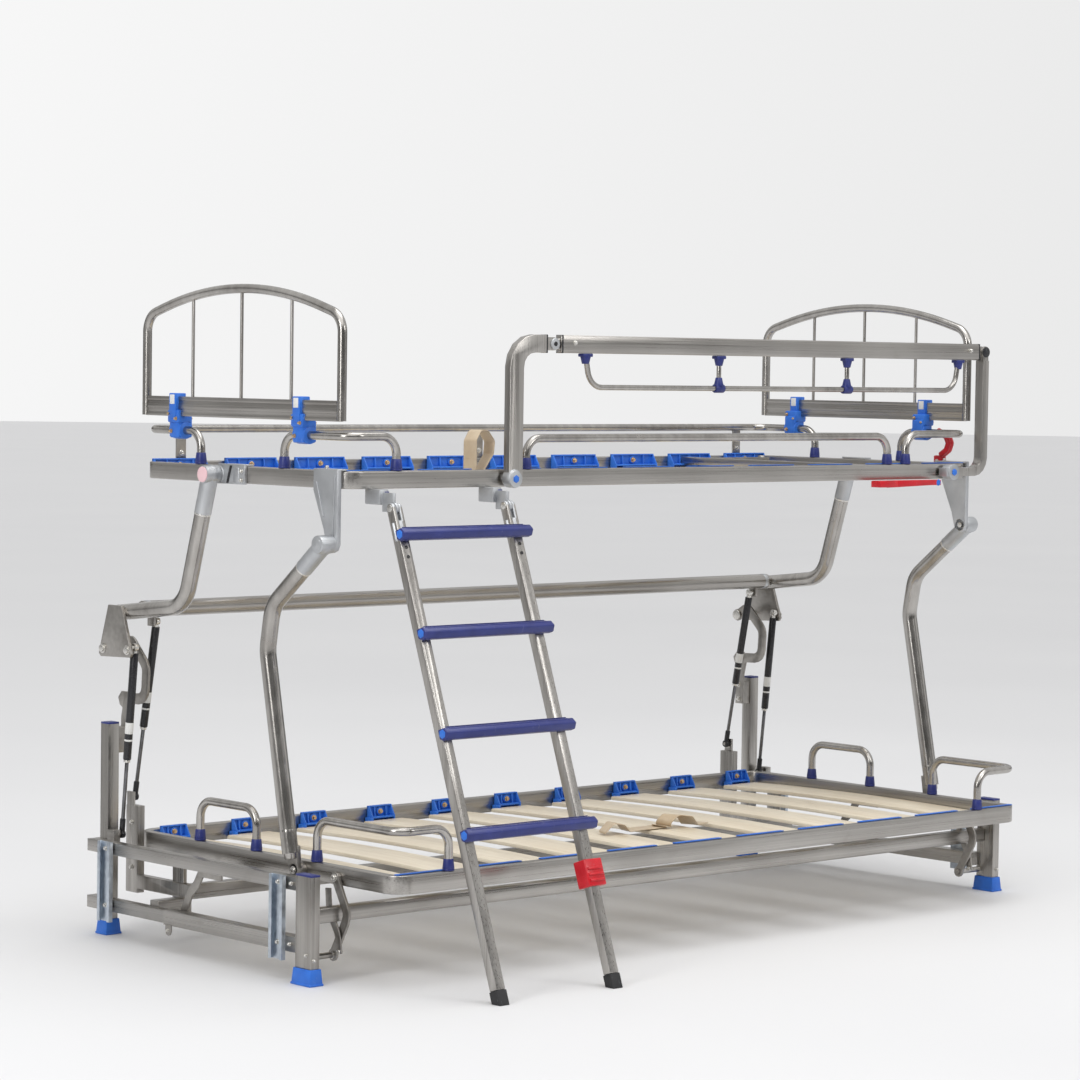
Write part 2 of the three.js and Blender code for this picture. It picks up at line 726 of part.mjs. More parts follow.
function guardLeftArm() {
  const foot = inset(GUARD_LEFT_FOOT);
  const head = inset(GUARD_LEFT_HEAD);
  const arm = sweep(
    flatSection(GUARD_DEEP, GUARD_TALL),
    bent(
      [
        V(foot + 5, GUARD_MID, GUARD_FOOT_Z),
        V(foot + 5, GUARD_MID, GUARD_TOP_Z),
        V(head - GUARD_LINK_END, GUARD_MID, GUARD_TOP_Z),
      ],
      50,
    ),
  );
  return join(arm, guardPivot(foot), cheeks(head, GUARD_TOP_Z, "left"));
}

function guardRightArm() {
  const foot = inset(GUARD_RIGHT_FOOT);
  const head = inset(GUARD_RIGHT_HEAD);
  const arm = sweep(
    flatSection(GUARD_DEEP, 24),
    bent(
      [
        V(foot - 25, GUARD_MID, GUARD_FOOT_Z),
        V(head, GUARD_MID, GUARD_FOOT_Z),
        V(head, GUARD_MID, GUARD_TOP_Z - GUARD_LINK_END),
      ],
      35,
    ),
  );
  return join(arm, guardPivot(foot), cheeks(head, GUARD_TOP_Z, "down"));
}

function guardTopRail() {
  const left = inset(GUARD_LEFT_HEAD);
  const right = inset(GUARD_RIGHT_HEAD);
  const z0 = GUARD_TOP_Z - GUARD_TALL / 2;
  const rail = box(
    left + GUARD_LINK_END,
    right - GUARD_LINK_END,
    GUARD_FRONT,
    GUARD_BACK,
    z0,
    z0 + GUARD_TALL,
  );
  const y0 = GUARD_FRONT + GUARD_CHEEK + RUN / 2;
  const y1 = GUARD_BACK - GUARD_CHEEK - RUN / 2;
  const tongue = (x, reach) =>
    join(
      barY(y0, y1, x, GUARD_TOP_Z, 11, 12),
      box(Math.min(x, x + reach), Math.max(x, x + reach), y0, y1, GUARD_TOP_Z - 11, GUARD_TOP_Z + 11),
    );
  return join(rail, tongue(left, GUARD_LINK_END + 2), tongue(right, -GUARD_LINK_END - 2));
}

// The loop below the rail, with its two uprights and moulded clips.
function guardLoop() {
  const top = GUARD_TOP_Z - GUARD_TALL / 2 - GAP;
  const bottom = top - 72;
  const left = inset(GUARD_LEFT_HEAD + 98);
  const right = inset(GUARD_RIGHT_HEAD - 88);
  const span = right - left;
  const loop = tube(
    [
      V(left, GUARD_MID, top - 4),
      V(left + 14, GUARD_MID, bottom),
      V(right - 14, GUARD_MID, bottom),
      V(right, GUARD_MID, top - 4),
    ],
    42,
    LOOP_RADIUS,
  );
  const clip = (x, z1) => box(x - 13, x + 13, GUARD_FRONT + 1, GUARD_BACK - 1, z1 - 15, z1);
  const uprights = [0.335, 0.68].map((share) => left + span * share);
  return join(
    loop,
    clip(left, top),
    clip(right, top),
    ...uprights.flatMap((x) => [
      clip(x, top),
      clip(x, bottom + 12),
      box(x - 5, x + 5, GUARD_MID - 5, GUARD_MID + 5, bottom, top - 10),
    ]),
  );
}

// ---- headboard: arched tube with spindles and a flat plate, clamped round the end hoop
function headboard() {
  const x = inset(BED_INSET);
  const hoopX = inset(BED_INSET + HOOP_INSET);
  const hoopZ = UPPER_TOP + UPPER_HOOP_RISE;
  const y0 = UPPER_FRONT + HEAD_MARGIN;
  const y1 = UPPER_REAR - HEAD_MARGIN;
  const mid = (y0 + y1) / 2;
  const arch = tube(
    [
      V(x, y0, PLATE_BOTTOM + 2),
      V(x, y0, ARCH_SHOULDER),
      V(x, mid, ARCH_PEAK),
      V(x, y1, ARCH_SHOULDER),
      V(x, y1, PLATE_BOTTOM + 2),
    ],
    [45, ARCH_BEND, 45],
    HEAD_RADIUS,
  );
  const plate = box(
    x - PLATE_THICK / 2,
    x + PLATE_THICK / 2,
    y0,
    y1,
    PLATE_BOTTOM,
    PLATE_BOTTOM + PLATE_TALL,
  );
  const crown = ARCH_PEAK - ARCH_BEND * (1 / Math.cos(Math.atan((ARCH_PEAK - ARCH_SHOULDER) / (mid - y0))) - 1);
  const spindle = (y) => {
    const top = crown - ((y - mid) * (y - mid)) / (2 * ARCH_BEND);
    return sweep(roundSection(SPINDLE_RADIUS, 6), [V(x, y, PLATE_BOTTOM + 20), V(x, y, top)]);
  };
  const clamp = (y) =>
    box(
      x - 8,
      hoopX + 15,
      y - CLAMP_HALF,
      y + CLAMP_HALF,
      hoopZ - 25,
      PLATE_BOTTOM + 20,
    ).subtract(barY(y - CLAMP_HALF - 1, y + CLAMP_HALF + 1, hoopX, hoopZ, HOOP_RADIUS + 1.5, 12));
  return join(
    arch,
    plate,
    spindle(mid - 168),
    spindle(mid),
    spindle(mid + 168),
    clamp(CLAMP_FRONT),
    clamp(CLAMP_REAR),
  );
}
const CLAMP_FRONT = UPPER_FRONT + 149;
const CLAMP_REAR = UPPER_REAR - 128;

// ---- ladder: modelled straight down from its hinge, then leant outwards
const LADDER_LONG = Math.hypot(LADDER_OUT, LADDER_HINGE[1]);
const LEAN = Math.atan2(LADDER_OUT, LADDER_HINGE[1]);
function lean(shape) {
  const degrees = THREE.MathUtils.radToDeg(-LEAN);
  return shape.rotate([degrees, 0, 0]).translate([0, ...LADDER_HINGE]);
}
const TONGUE_HALF = 4;
const FERRULE = 16; // black foot ferrule's height along the stile

function stile(x) {
  const half = STILE_WIDE / 2;
  const body = box(x - half, x + half, -STILE_DEEP / 2, STILE_DEEP / 2, -LADDER_LONG + FERRULE + 12, -28);
  const cheek = (x0, x1) =>
    join(
      box(x0, x1, -STILE_DEEP / 2, STILE_DEEP / 2, -30, 0),
      barX(x0, x1, 0, 0, STILE_DEEP / 2, 12),
    );
  const gap = TONGUE_HALF + RUN / 2;
  return lean(join(body, cheek(x - half, x - gap), cheek(x + gap, x + half)));
}

// The ferrule stands flat on the floor.
function ferrule(x) {
  const half = STILE_WIDE / 2 + 1;
  const deep = STILE_DEEP / 2 + 1;
  const cup = lean(box(x - half, x + half, -deep, deep, -LADDER_LONG - 20, -LADDER_LONG + FERRULE + 12 - GAP));
  return cup.subtract(box(x - 100, x + 100, -900, 900, -200, 0));
}

// A six-sided tread in front of the stiles.
function rung(index) {
  const z = -(RUNG_FIRST + index * RUNG_PITCH);
  const back = -STILE_DEEP / 2 - GAP;
  const front = back - RUNG_DEEP;
  const middle = (inset(LADDER_LEFT) + inset(LADDER_RIGHT)) / 2;
  const outline = [
    [back, z - RUNG_HALF_TALL * 0.6],
    [back - 8, z - RUNG_HALF_TALL],
    [front + 8, z - RUNG_HALF_TALL],
    [front, z],
    [front + 8, z + RUNG_HALF_TALL],
    [back, z + RUNG_HALF_TALL],
  ];
  return lean(plateX(middle - RUNG_LONG / 2, middle + RUNG_LONG / 2, outline.reverse()));
}

// The block welded under the front rail, with the tongue that each stile hangs on.
function ladderBlock(x) {
  const half = STILE_WIDE / 2;
  const [y, z] = LADDER_HINGE;
  return join(
    box(x - half, x + half, y + 32, UPPER_FRONT + 17, z + 6, UPPER_TOP - UPPER_BOTTOM_GAP + 1),
    box(x - TONGUE_HALF, x + TONGUE_HALF, y, y + 34, z - 8, UPPER_TOP - UPPER_BOTTOM_GAP - 6),
    barX(x - TONGUE_HALF, x + TONGUE_HALF, y, z, 12, 12),
  );
}

// The red clip that slides on the right stile.
function ladderClip() {
  const x = inset(LADDER_RIGHT);
  const half = STILE_WIDE / 2;
  const z = -LADDER_LONG + 235;
  const shell = box(x - half - 12, x + half + 12, -STILE_DEEP / 2 - 9, STILE_DEEP / 2 + 4, z - 28, z + 28);
  const bore = box(x - half - GAP, x + half + GAP, -STILE_DEEP / 2 - GAP, STILE_DEEP / 2 + 9, z - 40, z + 40);
  return lean(shell.subtract(bore));
}

// ---- red levers
const LEVER_LEFT = SPAN - 460;
const LEVER_RIGHT = SPAN - 242;
function releaseLever() {
  const z0 = UPPER_TOP - UPPER_BOTTOM_GAP - 13;
  const blade = box(inset(LEVER_LEFT), inset(LEVER_RIGHT), 10, 31, z0, z0 + 12);
  const grip = box(inset(LEVER_LEFT), inset(LEVER_LEFT + 60), 4, 33, z0 - 3, z0 + 11);
  return blade.add(grip);
}
function lockHandle() {
  const x = -inset(BED_INSET - 11);
  const y = 108;
  return sweep(
    flatSection(14, 12),
    bent(
      [
        V(x, y + 34, UPPER_TOP - 8),
        V(x, y + 34, UPPER_TOP + 20),
        V(x, y, UPPER_TOP + 44),
        V(x, y + 34, UPPER_TOP + 70),
        V(x, y + 44, UPPER_TOP + 76),
      ],
      8,
    ),
  );
}

// ---- webbing loops, as plain solids
function webbingLoop(x, y, z, long, tall, deep) {
  const flat = new THREE.Shape();
  flat.absellipse(0, 0, long / 2, tall / 2, 0, 2 * Math.PI, false, 0);
  const geometry = new THREE.ExtrudeGeometry(flat, { depth: deep, bevelEnabled: false, curveSegments: 8 });
  geometry.rotateX(Math.PI / 2);
  geometry.translate(x, y + deep / 2, z + tall / 2);
  return solid(geometry);
}

// ---------------------------------------------------------------- put together
const upperBottom = UPPER_TOP - UPPER_BOTTOM_GAP;

addPair("base_side", baseSide(), STEEL);
addPair("foot_front", footCup(FRONT_POST), BLUE);
addPair("foot_rear", footCup(REAR_POST), BLUE);
add(
  "front_cross_tube",
  box(inset(FRONT_POST.x1 + GAP), -inset(FRONT_POST.x1 + GAP), 34, 60, 120, 150),
  STEEL,
);
add("rear_cross_frame", rearCrossFrame(), STEEL);
addPair("hook_arm", hookArm(), SHEET_STEEL);
addPair("bed_stay", bedStay(), SHEET_STEEL);

add("lower_bed_frame", ring(LOWER_FRONT, LOWER_REAR, LOWER_TOP - RAIL_TALL, LOWER_TOP), STEEL);
add("lower_slat_deck", slatDeck(LOWER_FRONT, LOWER_REAR, LOWER_TOP), WOOD);
addPair("lower_end_hoop", endHoop(330, 525, LOWER_TOP, LOWER_HOOP_RISE), STEEL);
addPair("lower_corner_hoop", cornerHoop(LOWER_FRONT, 128, 250, LOWER_TOP, LOWER_HOOP_RISE), STEEL);

add(
  "upper_bed_frame",
  join(
    ring(UPPER_FRONT, UPPER_REAR, upperBottom, UPPER_TOP),
    ladderBlock(inset(LADDER_LEFT)),
    ladderBlock(inset(LADDER_RIGHT)),
  ),
  STEEL,
);
add("upper_slat_deck", slatDeck(UPPER_FRONT, UPPER_REAR, UPPER_TOP), WOOD);
add("upper_rear_hoop", rearHoop(), STEEL);
add("upper_corner_hoop_left", cornerHoop(UPPER_FRONT, 250, 245, UPPER_TOP, UPPER_HOOP_RISE), STEEL);
add(
  "upper_corner_hoop_right",
  mirrored(cornerHoop(UPPER_FRONT, 250, 330, UPPER_TOP, UPPER_HOOP_RISE)),
  STEEL,
);
const frontHoopY = UPPER_FRONT + HOOP_INSET;
const frontHoopZ = UPPER_TOP + UPPER_HOOP_RISE - 5;
add(
  "upper_front_hoop",
  tube(
    [
      V(inset(602), frontHoopY, UPPER_TOP + GAP),
      V(inset(602), frontHoopY, frontHoopZ),
      V(inset(SPAN - 394), frontHoopY, frontHoopZ),
      V(inset(SPAN - 394), frontHoopY, UPPER_TOP + GAP),
    ],
    HOOP_BEND,
    HOOP_RADIUS,
  ),
  STEEL,
);
addPair("leg_bracket", legBracket(), CAST);
addPair("rear_clamp", rearClamp(), CAST);
addPair("front_leg", frontLeg(), STEEL);
addPair("rear_support", rearSupport(), STEEL);
add("rear_cross_tube", rearCrossTube(), STEEL);

for (const [name, spec] of [
  ["outer_spring", OUTER_SPRING],
  ["inner_spring", INNER_SPRING],
]) {
  const { cylinder, rod } = springPieces(spec);
  addPair(`${name}_cylinder`, cylinder, BLACK);
  addPair(`${name}_rod`, rod, ROD_STEEL);
}

add("guard_left_arm", guardLeftArm(), STEEL);
add("guard_right_arm", guardRightArm(), STEEL);
add("guard_top_rail", guardTopRail(), STEEL);
add("guard_loop", guardLoop(), STEEL);
addPair("headboard", headboard(), STEEL);

add("ladder_stile_left", stile(inset(LADDER_LEFT)), STEEL);
add("ladder_stile_right", stile(inset(LADDER_RIGHT)), STEEL);
add("ladder_foot_left", ferrule(inset(LADDER_LEFT)), BLACK);
add("ladder_foot_right", ferrule(inset(LADDER_RIGHT)), BLACK);
for (let i = 0; i < RUNG_COUNT; i += 1) add(`ladder_rung_${i + 1}`, rung(i), NAVY);
add("ladder_clip", ladderClip(), RED);
add("release_lever", releaseLever(), RED);
add("lock_handle", lockHandle(), RED);
add("strap_lower", webbingLoop(inset(1115), 175, LOWER_TOP - SLAT_DROP + 1, 320, 30, 45), WEBBING);
add("strap_upper", webbingLoop(inset(520), 100, UPPER_TOP - SLAT_DROP + 1, 62, 106, 45), WEBBING);

// The part's origin is on the floor, below the middle of its bounding box.
const whole = new THREE.Box3().setFromObject(root);
const middle = whole.getCenter(new THREE.Vector3());
root.position.set(-middle.x, -middle.y, -whole.min.z);

const part = new THREE.Group();
part.add(root);
export default part;
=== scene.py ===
from math import atan, cos, radians, sin, tan

import bmesh
import bpy
from mathutils import Matrix, Vector


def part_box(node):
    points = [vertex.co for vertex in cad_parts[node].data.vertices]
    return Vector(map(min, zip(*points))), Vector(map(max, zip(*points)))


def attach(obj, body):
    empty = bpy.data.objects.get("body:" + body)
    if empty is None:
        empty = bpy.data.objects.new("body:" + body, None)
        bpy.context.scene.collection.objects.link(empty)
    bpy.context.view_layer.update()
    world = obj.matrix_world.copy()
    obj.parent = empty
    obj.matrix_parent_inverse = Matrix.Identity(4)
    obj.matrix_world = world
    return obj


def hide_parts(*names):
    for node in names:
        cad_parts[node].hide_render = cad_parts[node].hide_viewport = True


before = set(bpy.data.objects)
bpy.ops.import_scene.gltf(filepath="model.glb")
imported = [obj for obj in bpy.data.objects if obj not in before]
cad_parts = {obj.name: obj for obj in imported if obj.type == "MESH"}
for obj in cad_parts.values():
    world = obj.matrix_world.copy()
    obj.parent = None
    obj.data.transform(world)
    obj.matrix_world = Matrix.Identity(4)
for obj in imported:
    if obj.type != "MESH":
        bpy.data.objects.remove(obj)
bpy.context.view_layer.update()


# ---------------- camera
# Stands at the ladder's corner of the bed, a little above the upper berth.
# Places are given in millimetres from the left feet's outer faces, the front feet and the floor.
SPAN = 2132
FRONT_TO_MIDDLE = 216.63


def at(x, y, z):
    return Vector((x - SPAN / 2, y - FRONT_TO_MIDDLE, z)) / 1000


def shown(name, data):
    """An object in the scene that holds the data."""
    made = bpy.data.objects.new(name, data)
    bpy.context.scene.collection.objects.link(made)
    return made


stand = at(-4346, -5416, 1255.7)
yaw, pitch, roll = radians(42.43), radians(2.9), radians(0.83)
forward = Vector((sin(yaw) * cos(pitch), cos(yaw) * cos(pitch), -sin(pitch)))
level = Vector((cos(yaw), -sin(yaw), 0))
right = level * cos(roll) + level.cross(forward) * sin(roll)
camera = shown("camera", bpy.data.cameras.new("camera"))
turn = Matrix((right, right.cross(forward), -forward)).transposed()
camera.matrix_world = Matrix.Translation(stand) @ turn.to_4x4()
camera.data.lens = 116.3
camera.data.sensor_width = 36
camera.data.clip_end = 200
bpy.context.scene.camera = camera


# ---------------- surface finishes
# Every finish is worked out from the place on the piece: fine grain, stains and small bumps.
class Level:
    """A number that changes over a surface."""

    def __init__(self, finish, socket):
        self.finish = finish
        self.socket = socket

    def maths(self, operation, first, second):
        settings = {"operation": operation}
        node = self.finish.node("ShaderNodeMath", settings, {0: first, 1: second})
        return Level(self.finish, node.outputs[0])

    def __add__(self, other):
        return self.maths("ADD", self, other)

    def __radd__(self, other):
        return self.maths("ADD", other, self)

    def __sub__(self, other):
        return self.maths("SUBTRACT", self, other)

    def __rsub__(self, other):
        return self.maths("SUBTRACT", other, self)

    def __mul__(self, other):
        return self.maths("MULTIPLY", self, other)

    def __rmul__(self, other):
        return self.maths("MULTIPLY", other, self)

    def clamped(self):
        return self.maths("MINIMUM", self.maths("MAXIMUM", self, 0.0), 1.0)


class Nodes:
    """A node tree, built from nothing."""

    def __init__(self, tree):
        self.tree = tree
        tree.nodes.clear()

    def node(self, kind, settings, values):
        made = self.tree.nodes.new(kind)
        for key, value in settings.items():
            setattr(made, key, value)
        for key, value in values.items():
            value = getattr(value, "socket", value)
            if isinstance(value, bpy.types.NodeSocket):
                self.tree.links.new(value, made.inputs[key])
            else:
                made.inputs[key].default_value = value
        return made


class Finish(Nodes):
    """One procedural material."""

    def __init__(self, name, **fixed):
        self.material = bpy.data.materials.new(name)
        self.material.use_nodes = True
        super().__init__(self.material.node_tree)
        self.shader = self.node("ShaderNodeBsdfPrincipled", {}, fixed)
        self.node("ShaderNodeOutputMaterial", {}, {"Surface": self.shader.outputs[0]})
        self.place = self.node("ShaderNodeTexCoord", {}, {}).outputs["Object"]

    def noise(self, scale, detail=2.0, shift=0.0):
        scale = scale if isinstance(scale, tuple) else (scale,) * 3
        placed = self.node("ShaderNodeMapping", {}, {0: self.place, 1: (shift,) * 3, 3: scale})
        values = {"Vector": placed.outputs[0], "Scale": 1.0, "Detail": detail}
        return Level(self, self.node("ShaderNodeTexNoise", {}, values).outputs["Fac"])

    def axis(self, index):
        split = self.node("ShaderNodeSeparateXYZ", {}, {0: self.place})
        return Level(self, split.outputs[index])

    def mixed(self, mask, first, second):
        values = {0: mask, 6: first, 7: second}
        return self.node("ShaderNodeMix", {"data_type": "RGBA"}, values).outputs[2]

    def wears(self, colour, roughness, relief, height):
        for key, value in (("Base Color", colour), ("Roughness", roughness.socket)):
            self.tree.links.new(value, self.shader.inputs[key])
        values = {"Height": relief, "Strength": 1.0, "Distance": height}
        bump = self.node("ShaderNodeBump", {}, values)
        self.tree.links.new(bump.outputs[0], self.shader.inputs["Normal"])
        return self.material


def shade(red, green, blue):
    return (red, green, blue, 1.0)


def brushed(name, grain, light, dark, smooth=0.2, rough=0.2):
    """Stainless steel with polishing lines along its length and faint heat and handling stains."""
    made = Finish(name, Metallic=1.0)
    lines = made.noise(grain, 3.0)
    broad = made.noise(5.0, 2.0, 3.1)
    drawn = made.noise(tuple(0.12 * g for g in grain), 2.0, 7.7)
    stain = ((made.noise(14.0, 4.0, 5.3) - 0.62) * 5.0).clamped()
    tone = (0.62 * drawn + 0.5 * lines + 0.42 * broad - 0.26).clamped()
    colour = made.mixed(tone, dark, light)
    colour = made.mixed(stain * 0.22, colour, shade(0.2, 0.165, 0.13))
    return made.wears(colour, smooth + rough * lines + 0.14 * stain, lines, 0.00006)


PALE, DEEP = shade(0.64, 0.62, 0.59), shade(0.17, 0.155, 0.14)
steel_x = brushed("stainless_along_x", (3.0, 420.0, 420.0), PALE, DEEP)
steel_y = brushed("stainless_along_y", (420.0, 3.0, 420.0), PALE, DEEP)
steel_z = brushed("stainless_along_z", (420.0, 420.0, 3.0), PALE, DEEP)
steel_bent = brushed("stainless_bent_tube", (60.0, 60.0, 22.0), PALE, DEEP, 0.14, 0.16)
SHEET_GRAIN, BOLT_GRAIN = (90.0, 90.0, 90.0), (300.0, 300.0, 300.0)
satin, silvery, golden = shade(0.56, 0.54, 0.51), shade(0.75, 0.74, 0.7), shade(0.85, 0.62, 0.38)
sheet_steel = brushed("satin_sheet_steel", SHEET_GRAIN, satin, DEEP, 0.3, 0.2)
bright = brushed("zinc_plated_bolt", BOLT_GRAIN, silvery, PALE, 0.18, 0.2)
brass = brushed("yellow_zinc_screw", BOLT_GRAIN, golden, shade(0.6, 0.4, 0.2))


def blasted(name, light, dark, rough=0.42):
    """A stainless casting, bead-blasted to an even frosted grey."""
    made = Finish(name, Metallic=1.0)
    beads = made.noise(900.0, 2.0)
    cloud = made.noise(22.0, 4.0, 2.0)
    colour = made.mixed((1.4 * cloud + 0.3 * beads - 0.35).clamped(), dark, light)
    return made.wears(colour, rough + 0.14 * beads, beads + cloud * 0.4, 0.0001)


casting = blasted("blasted_casting", shade(0.62, 0.635, 0.65), shade(0.42, 0.43, 0.445))


def moulded(name, light, dark, rough=0.34, metal=0.0):
    """Moulded plastic or enamel: a fine spark-eroded skin with slightly uneven gloss."""
    made = Finish(name, Metallic=metal)
    skin = made.noise(700.0, 2.0)
    cloud = made.noise(30.0, 3.0, 4.0)
    scuff = ((made.noise((160.0, 160.0, 40.0), 4.0, 9.0) - 0.66) * 6.0).clamped()
    colour = made.mixed((cloud * 1.5 - 0.25).clamped(), dark, light)
    colour = made.mixed(scuff * 0.25, colour, shade(0.55, 0.58, 0.66))
    return made.wears(colour, rough + 0.16 * skin + 0.12 * scuff, skin, 0.00007)


blue = moulded("blue_polyamide", shade(0.03, 0.19, 0.72), shade(0.018, 0.11, 0.5))
navy = moulded("navy_tread", shade(0.022, 0.034, 0.2), shade(0.012, 0.019, 0.13), 0.3)
red = moulded("red_lever", shade(0.68, 0.008, 0.02), shade(0.42, 0.004, 0.012), 0.22)
black = moulded("black_enamel", shade(0.02, 0.02, 0.023), shade(0.01, 0.01, 0.012), 0.2)
rubber = moulded("black_rubber", shade(0.03, 0.03, 0.032), shade(0.012, 0.012, 0.013), 0.6)
rod_steel = moulded("dark_chromed_rod", shade(0.22, 0.22, 0.23), shade(0.1, 0.1, 0.1), 0.12, 1.0)
white = moulded("white_nylon", shade(0.8, 0.8, 0.78), shade(0.66, 0.66, 0.64), 0.4)
pink = moulded("pale_pink_cap", shade(0.85, 0.6, 0.62), shade(0.78, 0.5, 0.54), 0.45)


# ---------------- how pieces are made
# A piece is built up from bars, blocks, bent tubes and cut plates, then set on its moving body.
WIDE_BEND, FINE_STEP, COARSE_STEP = 0.2, radians(1.5), radians(7)


def rounded_route(corners, bends):
    """The middle line of a tube bent at each inner corner to its radius."""
    corners = [Vector(c) for c in corners]
    bends = bends if isinstance(bends, (list, tuple)) else [bends] * (len(corners) - 2)
    points = [corners[0]]
    for before, corner, after, bend in zip(corners, corners[1:], corners[2:], bends):
        into, out = (corner - before).normalized(), (after - corner).normalized()
        turned = into.angle(out)
        start = corner - into * bend * tan(turned / 2)
        inward = (out - into * out.dot(into)).normalized()
        steps = max(4, round(turned / (COARSE_STEP if bend < WIDE_BEND else FINE_STEP)))
        for k in range(steps + 1):
            angle = turned * k / steps
            points.append(start + inward * bend * (1 - cos(angle)) + into * bend * sin(angle))
    return points + [corners[-1]]


class Shell:
    """The mesh of a piece while it is being made."""

    SHARP = 0.6

    def __init__(self, *finishes):
        self.mesh = bmesh.new()
        self.finishes = finishes

    def dress(self, faces_before, finish, edge):
        made = [f for f in self.mesh.faces if f not in faces_before]
        for face in made:
            face.material_index = finish
        if edge:
            rims = {e for f in made for e in f.edges if e.calc_face_angle(0) > self.SHARP}
            how = {"segments": 2, "profile": 0.5, "affect": "EDGES", "material": -1}
            bmesh.ops.bevel(self.mesh, geom=list(rims), offset=edge, clamp_overlap=True, **how)
        return self

    def block(self, low, high, edge=0.001, finish=0):
        before = set(self.mesh.faces)
        size = high - low
        place = Matrix.Translation((low + high) / 2) @ Matrix.Diagonal((*size, 1))
        bmesh.ops.create_cube(self.mesh, size=1, matrix=place)
        return self.dress(before, finish, edge)

    def bar(self, start, end, radius, finish=0, edge=0.0008, sides=28, tip=None):
        before = set(self.mesh.faces)
        along = end - start
        place = Matrix.Translation((start + end) / 2)
        place = place @ along.to_track_quat("Z", "Y").to_matrix().to_4x4()
        bmesh.ops.create_cone(
            self.mesh,
            cap_ends=True,
            segments=sides,
            radius1=radius,
            radius2=radius if tip is None else tip,
            depth=along.length,
            matrix=place,
        )
        return self.dress(before, finish, edge)

    def ball(self, centre, radius, finish=0):
        before = set(self.mesh.faces)
        place = Matrix.Translation(centre)
        bmesh.ops.create_uvsphere(
            self.mesh, u_segments=28, v_segments=18, radius=radius, matrix=place
        )
        return self.dress(before, finish, 0)

    def tube(self, corners, bends, radius, finish=0):
        before = set(self.mesh.faces)
        data = bpy.data.curves.new("route", "CURVE")
        data.dimensions = "3D"
        data.bevel_depth = radius
        data.bevel_resolution = 5
        data.use_fill_caps = True
        points = rounded_route(corners, bends)
        spline = data.splines.new("POLY")
        spline.points.add(len(points) - 1)
        for place, point in zip(spline.points, points):
            place.co = (*point, 1)
        holder = bpy.data.objects.new("route", data)
        made = bpy.data.meshes.new_from_object(holder)
        self.mesh.from_mesh(made)
        bpy.data.objects.remove(holder)
        bpy.data.meshes.remove(made)
        bpy.data.curves.remove(data)
        return self.dress(before, finish, 0)

    def plate(self, outline, through, edge=0.0008, finish=0):
        before = set(self.mesh.faces)
        face = self.mesh.faces.new([self.mesh.verts.new(p) for p in outline])
        grown = bmesh.ops.extrude_face_region(self.mesh, geom=[face])["geom"]
        verts = [v for v in grown if isinstance(v, bmesh.types.BMVert)]
        bmesh.ops.translate(self.mesh, verts=verts, vec=through)
        made = [f for f in self.mesh.faces if f not in before]
        bmesh.ops.recalc_face_normals(self.mesh, faces=made)
        return self.dress(before, finish, edge)

    def strip(self, route, width, through, edge=0.0008, finish=0):
        """A flat bar bent along a route in one plane, width across it and through along it."""
        sides = []
        for side in (1, -1):
            for i, point in enumerate(route):
                run = (route[min(i + 1, len(route) - 1)] - route[max(i - 1, 0)]).normalized()
                across = through.normalized().cross(run) * width / 2
                sides.append(point + across * side)
        half = len(route)
        return self.plate(sides[:half] + sides[half:][::-1], through, edge, finish)

    def copied(self, node, edge=0.001, finish=0):
        """The node's own solid, with its sharp edges eased."""
        before = set(self.mesh.faces)
        self.mesh.from_mesh(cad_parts[node].data)
        bmesh.ops.remove_doubles(self.mesh, verts=self.mesh.verts, dist=1e-5)
        bmesh.ops.dissolve_limit(
            self.mesh, angle_limit=radians(1), verts=self.mesh.verts, edges=self.mesh.edges
        )
        return self.dress(before, finish, edge)

    def mirrored(self):
        twin = Shell(*self.finishes)
        twin.mesh = self.mesh.copy()
        bmesh.ops.scale(twin.mesh, vec=(-1, 1, 1), verts=twin.mesh.verts)
        bmesh.ops.reverse_faces(twin.mesh, faces=twin.mesh.faces)
        return twin

    def place(self, name, body, slot, instead_of=(), crease=40):
        mesh = bpy.data.meshes.new(name)
        self.mesh.to_mesh(mesh)
        self.mesh.free()
        for finish in self.finishes:
            mesh.materials.append(finish)
        mesh.shade_smooth()
        mesh.set_sharp_from_angle(angle=radians(crease))
        piece = shown(name, mesh)
        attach(piece, body)
        if instead_of:
            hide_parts(*instead_of)

    def both_ends(self, name, body, slot, instead_of=None):
        """This piece at the left end and its mirror image at the right end."""
        twin = self.mirrored()
        for side, shell in (("left", self), ("right", twin)):
            nodes = (f"{instead_of}_{side}",) if instead_of else ()
            shell.place(f"{name}_{side}", body.replace("SIDE", side), slot, nodes)


def bolt(shell, centre, out, radius, finish=0):
    """A dome-headed bolt or rivet with its washer."""
    shell.bar(centre, centre + out * 0.0016, radius * 1.35, finish, 0.0004)
    shell.bar(centre + out * 0.0016, centre + out * 0.006, radius, finish, 0.0016, 18)


def upright(x, outline):
    """An outline of (y, z) points set in the upright plane at x."""
    return [at(x, y, z) for y, z in outline]


LEFT, FRONT, UP = Vector((-1, 0, 0)), Vector((0, -1, 0)), Vector((0, 0, 1))


